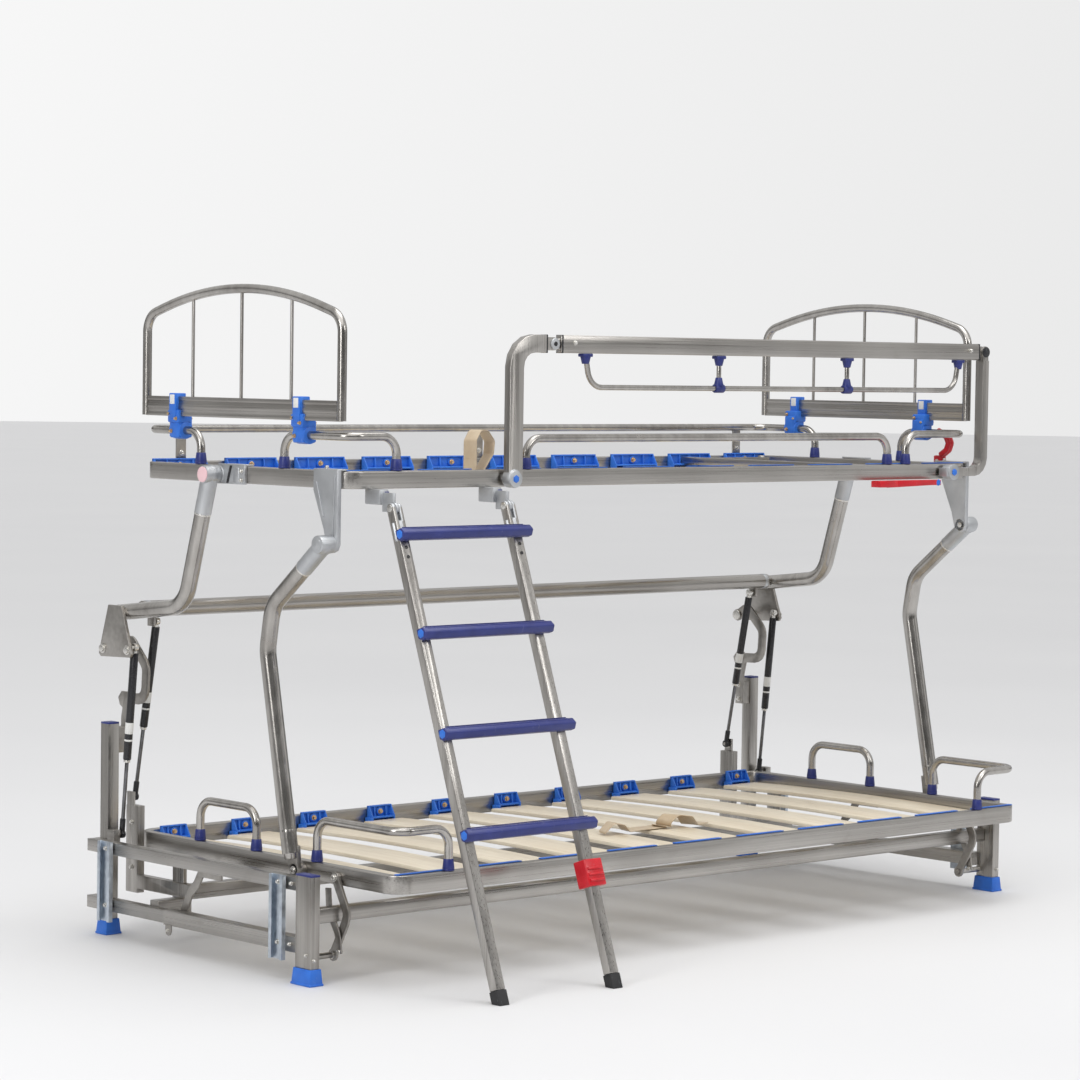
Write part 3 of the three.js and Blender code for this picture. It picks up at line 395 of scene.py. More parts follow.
# ---------------- base sides
# Each end stands on two square posts, tied by two side rails; the lower one slides in a sleeve.
# Posts and rails are welded stainless tube, with pressed-in plastic end caps.
side = Shell(steel_y, steel_z, navy, bright, sheet_steel)
side.copied("base_side_left", 0.0016)
for face in side.mesh.faces:
    middle = face.calc_center_median()
    post_front = at(5, 7, 0).x < middle.x < at(29, 0, 0).x and middle.y < at(0, 59, 0).y
    if post_front or (middle.x > at(53, 0, 0).x and middle.y > at(0, 770, 0).y):
        face.material_index = 1
side.block(at(5.5, 7.5, 219.5), at(28.5, 58.5, 224), 0.0012, 2)
side.block(at(53.5, 775.5, 459.5), at(82, 804.5, 464), 0.0012, 2)
side.block(at(21, 803, 63.5), at(43, 804.2, 86.5), 0.0006, 2)
side.block(at(21, 803, 186.5), at(43, 804.2, 209.5), 0.0006, 2)
bolt(side, at(13, 8, 52), FRONT, 0.003, 3)
bolt(side, at(6, 22, 62), LEFT, 0.003, 3)
for y, z in ((90, 198), (735, 198), (90, 75), (735, 75)):
    bolt(side, at(20 if z > 100 or y > 520 else 17.5, y, z), LEFT, 0.0035, 3)
side.both_ends("base_side_welded", "base", "steel", "base_side")


# ---------------- end channels
# Roll-formed galvanised channels bolted upright on the side rails, and the small fittings
# below them: a slotted hanging tab, and the flat link that carries the lower bed.
def galvanised():
    made = Finish("galvanised_channel", Metallic=1.0)
    spangle = made.noise(70.0, 1.0)
    fine = made.noise((400.0, 400.0, 30.0), 3.0, 2.0)
    tone = (spangle * 1.6 - 0.3).clamped()
    colour = made.mixed(tone, shade(0.42, 0.47, 0.54), shade(0.68, 0.74, 0.8))
    return made.wears(colour, 0.26 + 0.22 * spangle, fine, 0.00006)


zinc = galvanised()
channels = Shell(zinc, bright, sheet_steel)
OUTSIDE, WEB, GAUGE, LIP = 8.5, 16.4, 2.2, 7
CHANNEL_FOOT, CHANNEL_HEAD, RAIL_HEIGHTS = 40, 213, (75, 198)
for front, back in ((106, 150), (706, 750)):
    for x0, x1, y0, y1 in (
        (WEB, WEB + GAUGE, front, back),
        (OUTSIDE, WEB + 0.6, front, front + GAUGE),
        (OUTSIDE, WEB + 0.6, back - GAUGE, back),
        (OUTSIDE, OUTSIDE + 2, front + 2, front + 2 + LIP),
        (OUTSIDE, OUTSIDE + 2, back - 2 - LIP, back - 2),
    ):
        channels.block(at(x0, y0, CHANNEL_FOOT), at(x1, y1, CHANNEL_HEAD), 0.0005)
    for z in RAIL_HEIGHTS:
        bolt(channels, at(WEB, (front + back) / 2, z), LEFT, 0.004, 1)
tab = [(493, 62), (492, 48), (496, 40), (503, 37), (510, 40), (514, 48), (513, 62)]
channels.plate(upright(17, tab), Vector((0.003, 0, 0)), 0.0006, 2)
bolt(channels, at(17, 503, 49), LEFT, 0.003, 1)
link = rounded_route(upright(48, [(500, 70), (470, 130), (448, 150), (425, 188)]), 0.02)
channels.strip(link, 0.02, Vector((0.004, 0, 0)), 0.0006, 2)
bolt(channels, at(48, 500, 72), LEFT, 0.0045, 1)
bolt(channels, at(48, 427, 184), LEFT, 0.0045, 1)
channels.block(at(46, 360, 168), at(52, 440, 190), 0.001, 2)
channels.both_ends("end_channel_set", "base", "sheet")


# ---------------- feet
# Flared moulded cups pushed on the posts, with a rib round the foot's edge.
FLARE, SOLE = 7, 5
for corner, (x0, x1, y0, y1) in (("front", (6, 28, 8, 58)), ("rear", (54, 82, 776, 804))):
    cup = Shell(blue)
    cup.copied(f"foot_{corner}_left", 0.0014)
    cup.block(at(x0 - FLARE, y0 - FLARE, 0), at(x1 + FLARE, y1 + FLARE, SOLE), 0.0015)
    cup.both_ends(f"foot_{corner}_moulded", "base", "blue", f"foot_{corner}")


# ---------------- cross members of the base
# A flat tube ties the front posts below the bed; a welded frame ties the rear of both ends
# and carries an upright for each inner gas spring.
front_tie = Shell(steel_x)
front_tie.copied("front_cross_tube", 0.002)
front_tie.place("front_tie_tube", "base", "steel", ("front_cross_tube",))

rear_tie = Shell(steel_x, steel_z, bright)
rear_tie.copied("rear_cross_frame", 0.0016)
for face in rear_tie.mesh.faces:
    middle = face.calc_center_median()
    if abs(middle.x) > 0.91 and middle.z > 0.126:
        face.material_index = 1
for mirror in (1, -1):
    for z in (140, 240):
        spot = at(130, 792, z)
        bolt(rear_tie, Vector((spot.x * mirror, spot.y, spot.z)), LEFT * mirror, 0.004, 2)
rear_tie.place("rear_tie_frame", "base", "steel", ("rear_cross_frame",))


# ---------------- hooked arms
# A hooked plate, cut from thick sheet and bolted on each rear post, that carries the pivot of
# the rear linkage and hooks over the gas spring's pin.
ARM_PIVOT = (800, 622)
arm = Shell(sheet_steel, bright, black)
arm.copied("hook_arm_left", 0.0012)
for y, z in ((790, 444), (790, 408)):
    bolt(arm, at(110, y, z), -LEFT, 0.005, 1)
    bolt(arm, at(104, y, z), LEFT, 0.0045, 2)
arm.bar(at(110.2, *ARM_PIVOT), at(115, *ARM_PIVOT), 0.0125, 1)
arm.bar(at(110, 790, 512), at(117, 790, 512), 0.0095, 1)
nose = [(800, 528), (776, 528), (772, 500), (788, 488), (806, 498), (812, 514)]
arm.plate(upright(104.2, nose), Vector((0.0056, 0, 0)), 0.0006)
arm.both_ends("hook_arm_plate", "base", "sheet", "hook_arm")


# ---------------- lower bed stays
# A bent flat bar from each front post's foot to the lower bed's end rail, with a second bar
# crossed behind it, on bolted pivots.
stay = Shell(sheet_steel, bright, sheet_steel)
stay.copied("bed_stay_left", 0.001)
bolt(stay, at(97, 52, 50), LEFT, 0.006, 1)
bolt(stay, at(97, 48, 208), LEFT, 0.006, 1)
back_bar = rounded_route(upright(91, [(62, 186), (58, 140), (30, 96), (24, 56)]), 0.03)
stay.strip(back_bar, 0.016, Vector((0.004, 0, 0)), 0.0006, 2)
stay.bar(at(88, 24, 60), at(98, 24, 60), 0.005, 1)
stay.both_ends("bed_stay_bars", "base", "sheet", "bed_stay")


# ---------------- bed frames
# Each berth is one rectangular tube bent into a ring with rounded corners and welded at the
# middle of the rear rail. The upper ring also carries the ladder's hinge blocks.
RING_INSET = 106
LADDER_HINGE = (-28, 959)
STILES = {"left": 180, "right": 487}


def around(shell, front_y, rear_y, bottom, top, corner=45, deep=20, ease=2.4):
    """A rectangular tube led round the berth, with rounded corners in plan and eased edges."""
    section = []
    for across, up, start in (
        (deep - ease, top - ease, 0),
        (ease, top - ease, 90),
        (ease, bottom + ease, 180),
        (deep - ease, bottom + ease, 270),
    ):
        for k in range(4):
            turned = radians(start + 30 * k)
            section.append((across + ease * cos(turned), up + ease * sin(turned)))
    plan = []
    far_x = SPAN - RING_INSET
    for x, y, start in (
        (RING_INSET + corner, front_y + corner, 180),
        (far_x - corner, front_y + corner, 270),
        (far_x - corner, rear_y - corner, 0),
        (RING_INSET + corner, rear_y - corner, 90),
    ):
        plan += [(x, y, radians(start + 90 * k / 14)) for k in range(15)]
    rows = []
    for x, y, turned in plan:
        row = []
        for across, z in section:
            reach = corner - across
            place = at(x + reach * cos(turned), y + reach * sin(turned), z)
            row.append(shell.mesh.verts.new(place))
        rows.append(row)
    for near, following in zip(rows, rows[1:] + rows[:1]):
        for a, b, c, d in zip(near, near[1:] + near[:1], following[1:] + following[:1], following):
            shell.mesh.faces.new((a, b, c, d))
    bmesh.ops.recalc_face_normals(shell.mesh, faces=shell.mesh.faces)


for berth, body, front_y, rear_y, bottom, top in (
    ("lower", "base", -138, 744, 192, 230),
    ("upper", "upper_bed", 35, 735, 996, 1032),
):
    ring = Shell(steel_x, steel_y, casting, navy, bright)
    around(ring, front_y, rear_y, bottom, top)
    for face in ring.mesh.faces:
        if abs(face.calc_center_median().x) > 0.9395:
            face.material_index = 1
    if berth == "upper":
        for x in STILES.values():
            ring.block(at(x - 12, 4, 965), at(x + 12, 52, 996.5), 0.0025, 2)
            ring.block(at(x - 4, -28, 951), at(x + 4, 6, 990), 0.001, 2)
            ring.bar(at(x - 4, *LADDER_HINGE), at(x + 4, *LADDER_HINGE), 0.012, 2)
            ring.block(at(x + 1, 1.4, 972), at(x + 11, 4.4, 992), 0.001, 3)
            for side_x in (x - 13.5, x + 9.5):
                start, end = at(side_x, *LADDER_HINGE), at(side_x + 4, *LADDER_HINGE)
                ring.bar(start, end, 0.0075, 4, 0.001)
    ring.place(f"{berth}_bed_ring", body, "steel", (f"{berth}_bed_frame",))


# ---------------- slats
# Ten bent-laminated beech slats per berth, lacquered, crowned along their length and eased on
# every edge. Their ends sit in the holders on the side rails.
def laminated():
    made = Finish("lacquered_beech")
    grain = made.noise((150.0, 5.0, 60.0), 5.0)
    fleck = ((made.noise((500.0, 45.0, 500.0), 2.0, 6.0) - 0.62) * 6.0).clamped()
    broad = made.noise((3.0, 1.5, 3.0), 2.0, 2.0)
    colour = made.mixed(
        (grain * 1.5 - 0.3).clamped(), shade(0.62, 0.51, 0.36), shade(0.85, 0.78, 0.63)
    )
    colour = made.mixed((broad * 1.2 - 0.3).clamped() * 0.5, colour, shade(0.88, 0.84, 0.74))
    colour = made.mixed(fleck * 0.35, colour, shade(0.45, 0.32, 0.19))
    return made.wears(colour, 0.3 + 0.2 * grain, grain, 0.0001)


beech = laminated()
SLATS, PITCH, SLAT_WIDTH, SLAT_THICK = 10, 195, 116, 9
slat_places = [SPAN / 2 + (i - (SLATS - 1) / 2) * PITCH for i in range(SLATS)]


def slats(y0, y1, z, crown):
    made = Shell(beech)
    for x in slat_places:
        before = set(made.mesh.faces)
        low, high = at(x - SLAT_WIDTH / 2, y0, z - SLAT_THICK), at(x + SLAT_WIDTH / 2, y1, z)
        made.block(low, high, 0.0028)
        new = [f for f in made.mesh.faces if f not in before]
        long = [e for f in new for e in f.edges if abs((e.verts[0].co - e.verts[1].co).y) > 0.3]
        bmesh.ops.subdivide_edges(made.mesh, edges=list(set(long)), cuts=16, use_grid_fill=True)
    low, high = at(0, y0, 0).y, at(0, y1, 0).y
    for vert in made.mesh.verts:
        along = 2 * (vert.co.y - low) / (high - low) - 1
        vert.co.z += crown * (1 - along * along)
    return made


slats(-104, 706, 204, 0.007).place("lower_slats", "base", "wood", ("lower_slat_deck",))
slats(69, 699, 1005, 0.006).place("upper_slats", "upper_bed", "wood", ("upper_slat_deck",))


# ---------------- slat holders
# Moulded holders screwed on the inner faces of both long rails. Each has two raised ribs, a
# screw between them and a lip that the slat's end slides under.
def rear_holder(shell, x, y, z0, width):
    """A back plate on the rail, cheeks that slope down to the slat, and a screw between ribs."""
    half = width / 2
    shell.block(at(x - half, y - 4, z0), at(x + half, y - 0.4, z0 + 38), 0.0012)
    shell.block(at(x - half, y - 9, z0 + 35), at(x + half, y - 0.4, z0 + 38.4), 0.001)
    shell.block(at(x - half, y - 24, z0 - 3), at(x + half, y - 0.4, z0 + 2), 0.0015)
    for edge in (-half, half - 3.5, -half * 0.5 - 1.5, half * 0.5 - 1.5):
        deep = 20 if abs(edge) > half * 0.7 else 9
        wall, nose = y - 0.6, y - deep - 2
        top, foot = z0 + 37, z0 - 1
        cheek = [(wall, top), (y - 8, top), (nose, z0 + 14), (nose, foot), (wall, foot)]
        shell.plate(upright(x + edge, cheek), Vector((0.0035, 0, 0)), 0.0006)
    shell.block(at(x - half + 2, y - 21, z0 + 10), at(x + half - 2, y - 3, z0 + 14), 0.001)
    shell.bar(at(x, y - 3, z0 + 24), at(x, y - 8, z0 + 24), 0.0095, 0, 0.001)
    bolt(shell, at(x, y - 8, z0 + 24), FRONT, 0.0046, 1)


def front_holder(shell, x, y, z0, width):
    """The same holder turned round, with a thin lip lapping the rail's inner top edge."""
    half = width / 2
    shell.block(at(x - half, y + 0.4, z0), at(x + half, y + 4, z0 + 30), 0.001)
    shell.block(at(x - half, y - 7, z0 + 30.2), at(x + half, y + 4, z0 + 32), 0.0006)
    shell.block(at(x - half, y + 0.4, z0 + 10), at(x + half, y + 16, z0 + 13.6), 0.001)
    for edge in (-half, half - 3.5):
        shell.block(at(x + edge, y + 0.4, z0), at(x + edge + 3.5, y + 15, z0 + 14), 0.001)


for berth, body, y0, y1, z0, wide in (
    ("lower", "base", -118, 724, 198, 68),
    ("upper", "upper_bed", 55, 715, 1000, 140),
):
    holders = Shell(blue, brass)
    for x in slat_places:
        rear_holder(holders, x, y1, z0, wide)
        front_holder(holders, x, y0, z0 + 2.2, 140)
        if berth == "lower":
            holders.block(at(x - 40, y1 - 26, z0 - 1), at(x - 33, y1 - 2, z0 + 12), 0.001)
    holders.place(f"{berth}_slat_holders", body, "blue")


# ---------------- upper deck tray
# A flat stainless tube across the far end of the upper deck, and a shallow pressed tray
# beside it with raised edges and four bolts.
tray = Shell(steel_y, sheet_steel, bright)
tray.block(at(1716, 64, 1012), at(1741, 706, 1030), 0.002)
tray.block(at(1741, 120, 1016), at(1960, 640, 1019), 0.001, 1)
for y in (118, 636):
    tray.block(at(1741, y, 1016), at(1960, y + 3, 1030), 0.0008, 1)
for x, y in ((1800, 240), (1890, 240), (1800, 520), (1890, 520)):
    bolt(tray, at(x, y, 1019), UP, 0.006, 2)
tray.place("upper_deck_tray", "upper_bed", "sheet")


# ---------------- mattress hoops
# Bent stainless tubes that keep the mattresses in place, each foot in a flared moulded cup
# on the rail's top face.
def cup_foot(shell, x, y, z):
    shell.bar(at(x, y, z), at(x, y, z + 4), 0.0125, 1, 0.001)
    shell.bar(at(x, y, z + 4), at(x, y, z + 24), 0.0125, 1, 0.001, tip=0.0102)


HOOP_BEND, HOOP_RADIUS = 0.038, 0.009
NEAR, FAR = 116, SPAN - 116
LOWER_TOP, LOWER_RISE = 230.3, 317
UPPER_TOP, UPPER_RISE, FRONT_RISE = 1032.3, 1102, 1097


def hoop(plan, foot_z, rise):
    """A tube led along a plan at one height, with a leg down to the rail at each end."""
    made = Shell(steel_bent, navy, sheet_steel, bright)
    raised = [at(x, y, rise) for x, y in plan]
    made.tube([at(*plan[0], foot_z), *raised, at(*plan[-1], foot_z)], HOOP_BEND, HOOP_RADIUS)
    for x, y in (plan[0], plan[-1]):
        cup_foot(made, x, y, foot_z)
    return made


for kind, plan in (
    ("end", [(NEAR, 330), (NEAR, 525)]),
    ("corner", [(NEAR, 128), (NEAR, -128), (250, -128)]),
):
    lower_hoop = hoop(plan, LOWER_TOP, LOWER_RISE)
    lower_hoop.both_ends(f"lower_{kind}_hoop_tube", "base", "steel", f"lower_{kind}_hoop")

for hand, foot in (("left", 245), ("right", 330)):
    corner_hoop = hoop([(NEAR, 250), (NEAR, 45), (foot, 45)], UPPER_TOP, UPPER_RISE)
    if hand == "right":
        corner_hoop = corner_hoop.mirrored()
    node = f"upper_corner_hoop_{hand}"
    corner_hoop.place(f"upper_corner_hoop_tube_{hand}", "upper_bed", "steel", (node,))

front_hoop = hoop([(602, 45), (1738, 45)], UPPER_TOP, FRONT_RISE)
front_hoop.place("upper_front_hoop_tube", "upper_bed", "steel", ("upper_front_hoop",))

rear_hoop = hoop([(NEAR, 535), (NEAR, 725), (FAR, 725), (FAR, 535)], UPPER_TOP, UPPER_RISE)
for x in (203, SPAN - 203, SPAN / 2):
    rear_hoop.block(at(x - 13, 722.5, 1033), at(x + 13, 726.5, 1110), 0.0008, 2)
    rear_hoop.block(at(x - 13, 722.5, 1032.4), at(x + 13, 735, 1036), 0.0008, 2)
    bolt(rear_hoop, at(x, 722.5, 1050), FRONT, 0.0045, 3)
rear_hoop.place("upper_rear_hoop_tube", "upper_bed", "steel", ("upper_rear_hoop",))


# ---------------- front legs
# A tube bent twice, welded in a cast elbow that turns on the bracket's pin at the top, and
# flattened to a blade that turns on the lower bed's end rail.
LEG_PIN, BLADE_PIN = (68, 884), (160, 212)
BENT_TUBE, SOCKET, COLLAR, CAST_HEAD = 0.0176, 0.0186, 0.0181, 0.0188
leg = Shell(steel_z, casting, sheet_steel, bright, steel_bent)
head, elbow, knee, ankle = at(76, 72, 880), at(76, 232, 750), at(76, 248, 658), at(76, 165, 246)
leg.tube([head, elbow, knee, ankle], [0.07, 0.09], BENT_TUBE, 4)
run = (elbow - head).normalized()
leg.tube([head, head + run * 0.075], 0, SOCKET, 1)
leg.ball(at(76, 70, 882), 0.0206, 1)
leg.bar(head + run * 0.075, head + run * 0.079, COLLAR, 3, 0.0006)
leg.bar(at(57.5, *LEG_PIN), at(94, *LEG_PIN), CAST_HEAD, 1, 0.003)
leg.bar(at(56.6, *LEG_PIN), at(58, *LEG_PIN), 0.013, 1, 0.0005)
leg.bar(at(90, *LEG_PIN), at(105.5, *LEG_PIN), 0.0066, 3)
run = (ankle - knee).normalized()
blade = [(147, 212), (152, 202), (162, 199), (172, 204), (178, 216), (186, 268), (152, 262)]
leg.plate(upright(80, blade), Vector((0.012, 0, 0)), 0.0015, 2)
leg.bar(ankle - run * 0.05, ankle + run * 0.012, BENT_TUBE, 4, 0.002, tip=0.0135)
leg.bar(at(80, *BLADE_PIN), at(105.6, *BLADE_PIN), 0.0132, 2)
bolt(leg, at(80, *BLADE_PIN), LEFT, 0.0062, 3)
leg.both_ends("front_leg_bent", "front_leg_SIDE", "steel", "front_leg")


# ---------------- leg brackets
# Tapered castings that hook over the upper end rails and hold the front legs' pins.
bracket = Shell(casting, bright)
bracket.copied("leg_bracket_left", 0.002)
for rib in (
    [(56, 1024), (62, 900), (66, 900), (62, 1024)],
    [(116, 1010), (92, 940), (96, 938), (120, 1008)],
):
    bracket.plate(upright(93.4, rib), Vector((0.002, 0, 0)), 0.0006)
bracket.bar(at(93.6, *LEG_PIN), at(95.2, *LEG_PIN), 0.0175, 0, 0.0006)
bolt(bracket, at(116, 110, 1036), UP, 0.004, 1)
bracket.both_ends("leg_bracket_cast", "upper_bed", "cast", "leg_bracket")


# ---------------- rear clamps
# Castings clamped on the upper end rails, which hold the heads of the rear supports.
SUPPORT_PIN = (452, 1013)
clamp = Shell(casting, bright, black)
clamp.copied("rear_clamp_left", 0.002)
clamp.bar(at(97.5, *SUPPORT_PIN), at(105, *SUPPORT_PIN), 0.0195, 0, 0.002)
clamp.block(at(97.6, 380, 997), at(104, 400, 1030), 0.003, 0)
for z in (1003, 1022):
    bolt(clamp, at(98.8, 371, z), LEFT, 0.0035, 1)
seam = [(404, 1033), (412, 1033), (424, 996), (416, 996)]
clamp.plate(upright(98.3, seam), Vector((0.001, 0, 0)), 0.0002, 2)
clamp.both_ends("rear_clamp_cast", "upper_bed", "cast", "rear_clamp")


# ---------------- rear supports
# The rear linkage: a bent tube at each end in a cast head, closed at its lower end by a
# tapered plate that pivots on the hooked arm, and joined to the other by a long cross tube.
SUPPORT_BOLT = 0.0064
OUTER_EYE, INNER_EYE = (708, 631), (726, 684)
support = Shell(steel_bent, casting, sheet_steel, bright, pink)
heel, bend_corner, crown = at(78, 776, 702), at(78, 536, 730), at(78, *SUPPORT_PIN)
support.tube([heel, bend_corner, crown], 0.07, BENT_TUBE)
run = (bend_corner - crown).normalized()
support.tube([crown, crown + run * 0.085], 0, SOCKET, 1)
support.ball(crown, 0.0202, 1)
support.bar(crown + run * 0.085, crown + run * 0.089, COLLAR, 3, 0.0006)
support.bar(at(58, *SUPPORT_PIN), at(97, *SUPPORT_PIN), CAST_HEAD, 1, 0.0028)
support.bar(at(55.6, *SUPPORT_PIN), at(59, *SUPPORT_PIN), 0.0165, 4, 0.0016)
support.bar(at(95, *SUPPORT_PIN), at(105.3, *SUPPORT_PIN), SUPPORT_BOLT, 3)
outline = [(733, 720), (696, 618), (702, 610), (808, 606), (816, 613), (782, 720)]
support.plate(upright(54, outline), Vector((0.008, 0, 0)), 0.0014, 2)
support.bar(at(52, *ARM_PIVOT), at(113.6, *ARM_PIVOT), SUPPORT_BOLT, 3)
bolt(support, at(54, 800, 624), LEFT, 0.008, 3)
bolt(support, at(54, 710, 626), LEFT, 0.008, 3)
support.bar(at(52, *OUTER_EYE), at(80, *OUTER_EYE), 0.004, 3)
support.both_ends("rear_support_bent", "rear_frame", "steel", "rear_support")

CROSS_TUBE = (715, 713)
cross = Shell(steel_x, casting, bright, sheet_steel)
cross.tube([at(96.4, *CROSS_TUBE), at(SPAN - 96.4, *CROSS_TUBE)], 0, 0.0179)
for x, inner in ((108, 130), (SPAN - 108, SPAN - 130)):
    cross.bar(at(x - 6, *CROSS_TUBE), at(x + 6, *CROSS_TUBE), 0.0184, 1, 0.001)
    cross.block(at(inner - 3, 714, 674), at(inner + 3, 738, 703), 0.001, 3)
    pin_end = inner + (19 if inner < SPAN / 2 else -19)
    cross.bar(at(inner, *INNER_EYE), at(pin_end, *INNER_EYE), 0.004, 2)
cross.place("rear_cross_tube_round", "rear_frame", "steel", ("rear_cross_tube",))


# ---------------- gas springs
# Two sealed springs at each end: a black enamelled cylinder with a white label band on an
# upper eye, and a dark rod screwed in a lower ball socket.
SPRINGS = {
    "outer": (73, OUTER_EYE, (750, 222)),
    "inner": (143, INNER_EYE, (800, 294)),
}
for kind, (x, top, foot) in SPRINGS.items():
    upper, lower = at(x, *top), at(x, *foot)
    along = (lower - upper).normalized()
    length = (lower - upper).length
    cylinder = Shell(black, white, bright)
    cylinder.bar(upper + along * 0.012, upper + along * length * 0.6, 0.0088, 0, 0.0015)
    cylinder.bar(upper + along * length * 0.4, upper + along * length * 0.46, 0.0091, 1, 0.0003)
    cylinder.bar(upper + along * length * 0.49, upper + along * length * 0.5, 0.0091, 1, 0.0003)
    cylinder.bar(upper + along * length * 0.6, upper + along * length * 0.614, 0.0072, 2, 0.001)
    cylinder.bar(upper + along * 0.004, upper + along * 0.022, 0.006, 2, 0.001)
    cylinder.bar(upper + LEFT * 0.005, upper - LEFT * 0.005, 0.0088, 2, 0.001)
    name = f"{kind}_spring_cylinder"
    cylinder.both_ends(f"{name}_enamelled", f"{kind}_cylinder_SIDE", "black", name)
    rod = Shell(rod_steel, black)
    rod.bar(upper + along * length * 0.55, lower - along * 0.006, 0.0042, 0, 0.0006)
    rod.bar(lower - along * 0.034, lower - along * 0.006, 0.0062, 1, 0.0012)
    rod.bar(lower + LEFT * 0.005, lower - LEFT * 0.005, 0.0088, 1, 0.001)
    rod.both_ends(f"{kind}_spring_rod_dark", f"{kind}_rod_SIDE", "rod", f"{kind}_spring_rod")


# ---------------- guard rail
# A side rail of flat tube that swings down on two arms. The left arm is bent over at its
# top; the right one is a smaller tube with its foot turned under the rail.
P1, P2, P3, P4 = (537, 1013), (647, 1297), (2040, 1297), (1930, 1013)
guard_left = Shell(steel_z, steel_x, casting, blue, black)
guard_left.copied("guard_left_arm", 0.0034)
for face in guard_left.mesh.faces:
    middle = face.calc_center_median()
    if middle.z > at(0, 0, 1262).z:
        face.material_index = 1
    elif middle.z < at(0, 0, 1036).z:
        face.material_index = 2
x, z = P1
guard_left.bar(at(x, 2.5, z), at(x, 5, z), 0.018, 2, 0.001)
guard_left.bar(at(x, 0.5, z), at(x, 3, z), 0.0085, 3, 0.001, 6)
x, z = P2
guard_left.bar(at(x, 5.5, z), at(x, 8.2, z), 0.0125, 2, 0.001)
guard_left.bar(at(x, 4.6, z), at(x, 5.8, z), 0.005, 4, 0.0004)
guard_left.block(at(x - 24, 7.6, z - 19.4), at(x - 20, 28.4, z + 19.4), 0.001, 4)
guard_left.place("guard_left_arm_tube", "guard_left_arm", "steel", ("guard_left_arm",))

guard_right = Shell(steel_z, steel_x, casting, blue, black)
guard_right.copied("guard_right_arm", 0.0034)
for face in guard_right.mesh.faces:
    middle = face.calc_center_median()
    if middle.z < at(0, 0, 1040).z:
        face.material_index = 2 if middle.x < at(1952, 0, 0).x else 1
x, z = P4
guard_right.bar(at(x, 1.5, z), at(x, 4.2, z), 0.0085, 3, 0.001, 6)
x, z = P3
guard_right.bar(at(x, 5.5, z), at(x, 8.2, z), 0.0125, 4, 0.001)
guard_right.place("guard_right_arm_tube", "guard_right_arm", "steel", ("guard_right_arm",))

top_rail = Shell(steel_x, black, bright)
top_rail.copied("guard_top_rail", 0.0034)
for x in (668, 2015):
    top_rail.block(at(x, 7.7, 1277.6), at(x + 4, 28.3, 1316.4), 0.001, 1)
for x in (705, 1985):
    bolt(top_rail, at(x, 8, 1300), FRONT, 0.004, 2)
top_rail.place("guard_top_rail_tube", "guard_rail", "steel", ("guard_top_rail",))

# The thin loop below the rail hangs in moulded saddle clips, with two short uprights.
loop = Shell(steel_bent, navy)
clip_top, loop_z = 1277.7, 1205.7
loop_left, loop_right = 745, 1952
loop.tube(
    [
        at(loop_left, 18, clip_top - 4),
        at(loop_left + 14, 18, loop_z),
        at(loop_right - 14, 18, loop_z),
        at(loop_right, 18, clip_top - 4),
    ],
    0.042,
    0.006,
)
uprights = [loop_left + (loop_right - loop_left) * share for share in (0.335, 0.68)]
for x in (loop_left, loop_right, *uprights):
    loop.block(at(x - 14, 9, clip_top - 7), at(x + 14, 27, clip_top), 0.0015, 1)
    loop.bar(at(x, 18, clip_top - 6), at(x, 18, clip_top - 22), 0.0115, 1, 0.001, tip=0.0078)
for x in uprights:
    loop.bar(at(x, 18, loop_z), at(x, 18, clip_top - 8), 0.0052, 0)
    loop.bar(at(x - 13, 18, loop_z), at(x + 13, 18, loop_z), 0.0098, 1, 0.0012)
    loop.bar(at(x, 18, loop_z + 24), at(x, 18, loop_z + 4), 0.0072, 1, 0.001, tip=0.0115)
loop.place("guard_loop_tube", "guard_rail", "steel", ("guard_loop",))


# ---------------- headboards
# An arched tube with three thin spindles over a ribbed flat section. Moulded clamps hold the
# section on the end hoop, on which the whole frame folds down.
MIDDLE, PEAK, SHOULDER, ARCH = 385, 1442, 1345, 950
board = Shell(steel_z, steel_bent, blue, white, brass, steel_y)
front_leg, rear_leg = 53, 717
front_side = [(front_leg, 1133), (front_leg, SHOULDER)]
rear_side = [(rear_leg, SHOULDER), (rear_leg, 1133)]
arch = upright(106, [*front_side, (MIDDLE, PEAK), *rear_side])
board.tube(arch, [0.045, ARCH / 1000, 0.045], 0.0099, 1)
lean_angle = atan((PEAK - SHOULDER) / (MIDDLE - front_leg))
crown_z = PEAK - ARCH * (1 / cos(lean_angle) - 1)
for y in (MIDDLE - 168, MIDDLE, MIDDLE + 168):
    top_z = crown_z - (y - MIDDLE) ** 2 / (2 * ARCH)
    board.bar(at(106, y, 1150), at(106, y, top_z), 0.0035, 0, 0)
board.block(at(100.6, front_leg, 1132), at(111.4, rear_leg, 1174), 0.0015, 5)
for low, high in ((1132, 1141), (1148, 1158), (1165, 1174)):
    board.block(at(99.4, front_leg + 8, low), at(112.6, rear_leg - 8, high), 0.0012, 5)
for y in (184, 607):
    board.block(at(92, y - 12, 1128), at(120, y + 12, 1181), 0.002, 2)
    board.block(at(97, y - 17, 1086), at(134, y + 17, 1133), 0.004, 2)
    board.block(at(94, y - 20, 1118), at(130, y + 20, 1146), 0.004, 2)
    board.bar(at(116, y - 19, 1102), at(116, y + 19, 1102), 0.0185, 2, 0.002)
    for x in (91.4, 119.6):
        board.block(at(x, y - 8, 1158), at(x + 1, y + 8, 1178), 0.0004, 3)
    for x, out in ((94, LEFT), (130, -LEFT)):
        bolt(board, at(x, y - 12, 1127), out, 0.003, 4)
        bolt(board, at(x, y + 12, 1137), out, 0.003, 4)
    for x, out in ((97, LEFT), (134, -LEFT)):
        bolt(board, at(x, y + 9, 1100), out, 0.0034, 4)
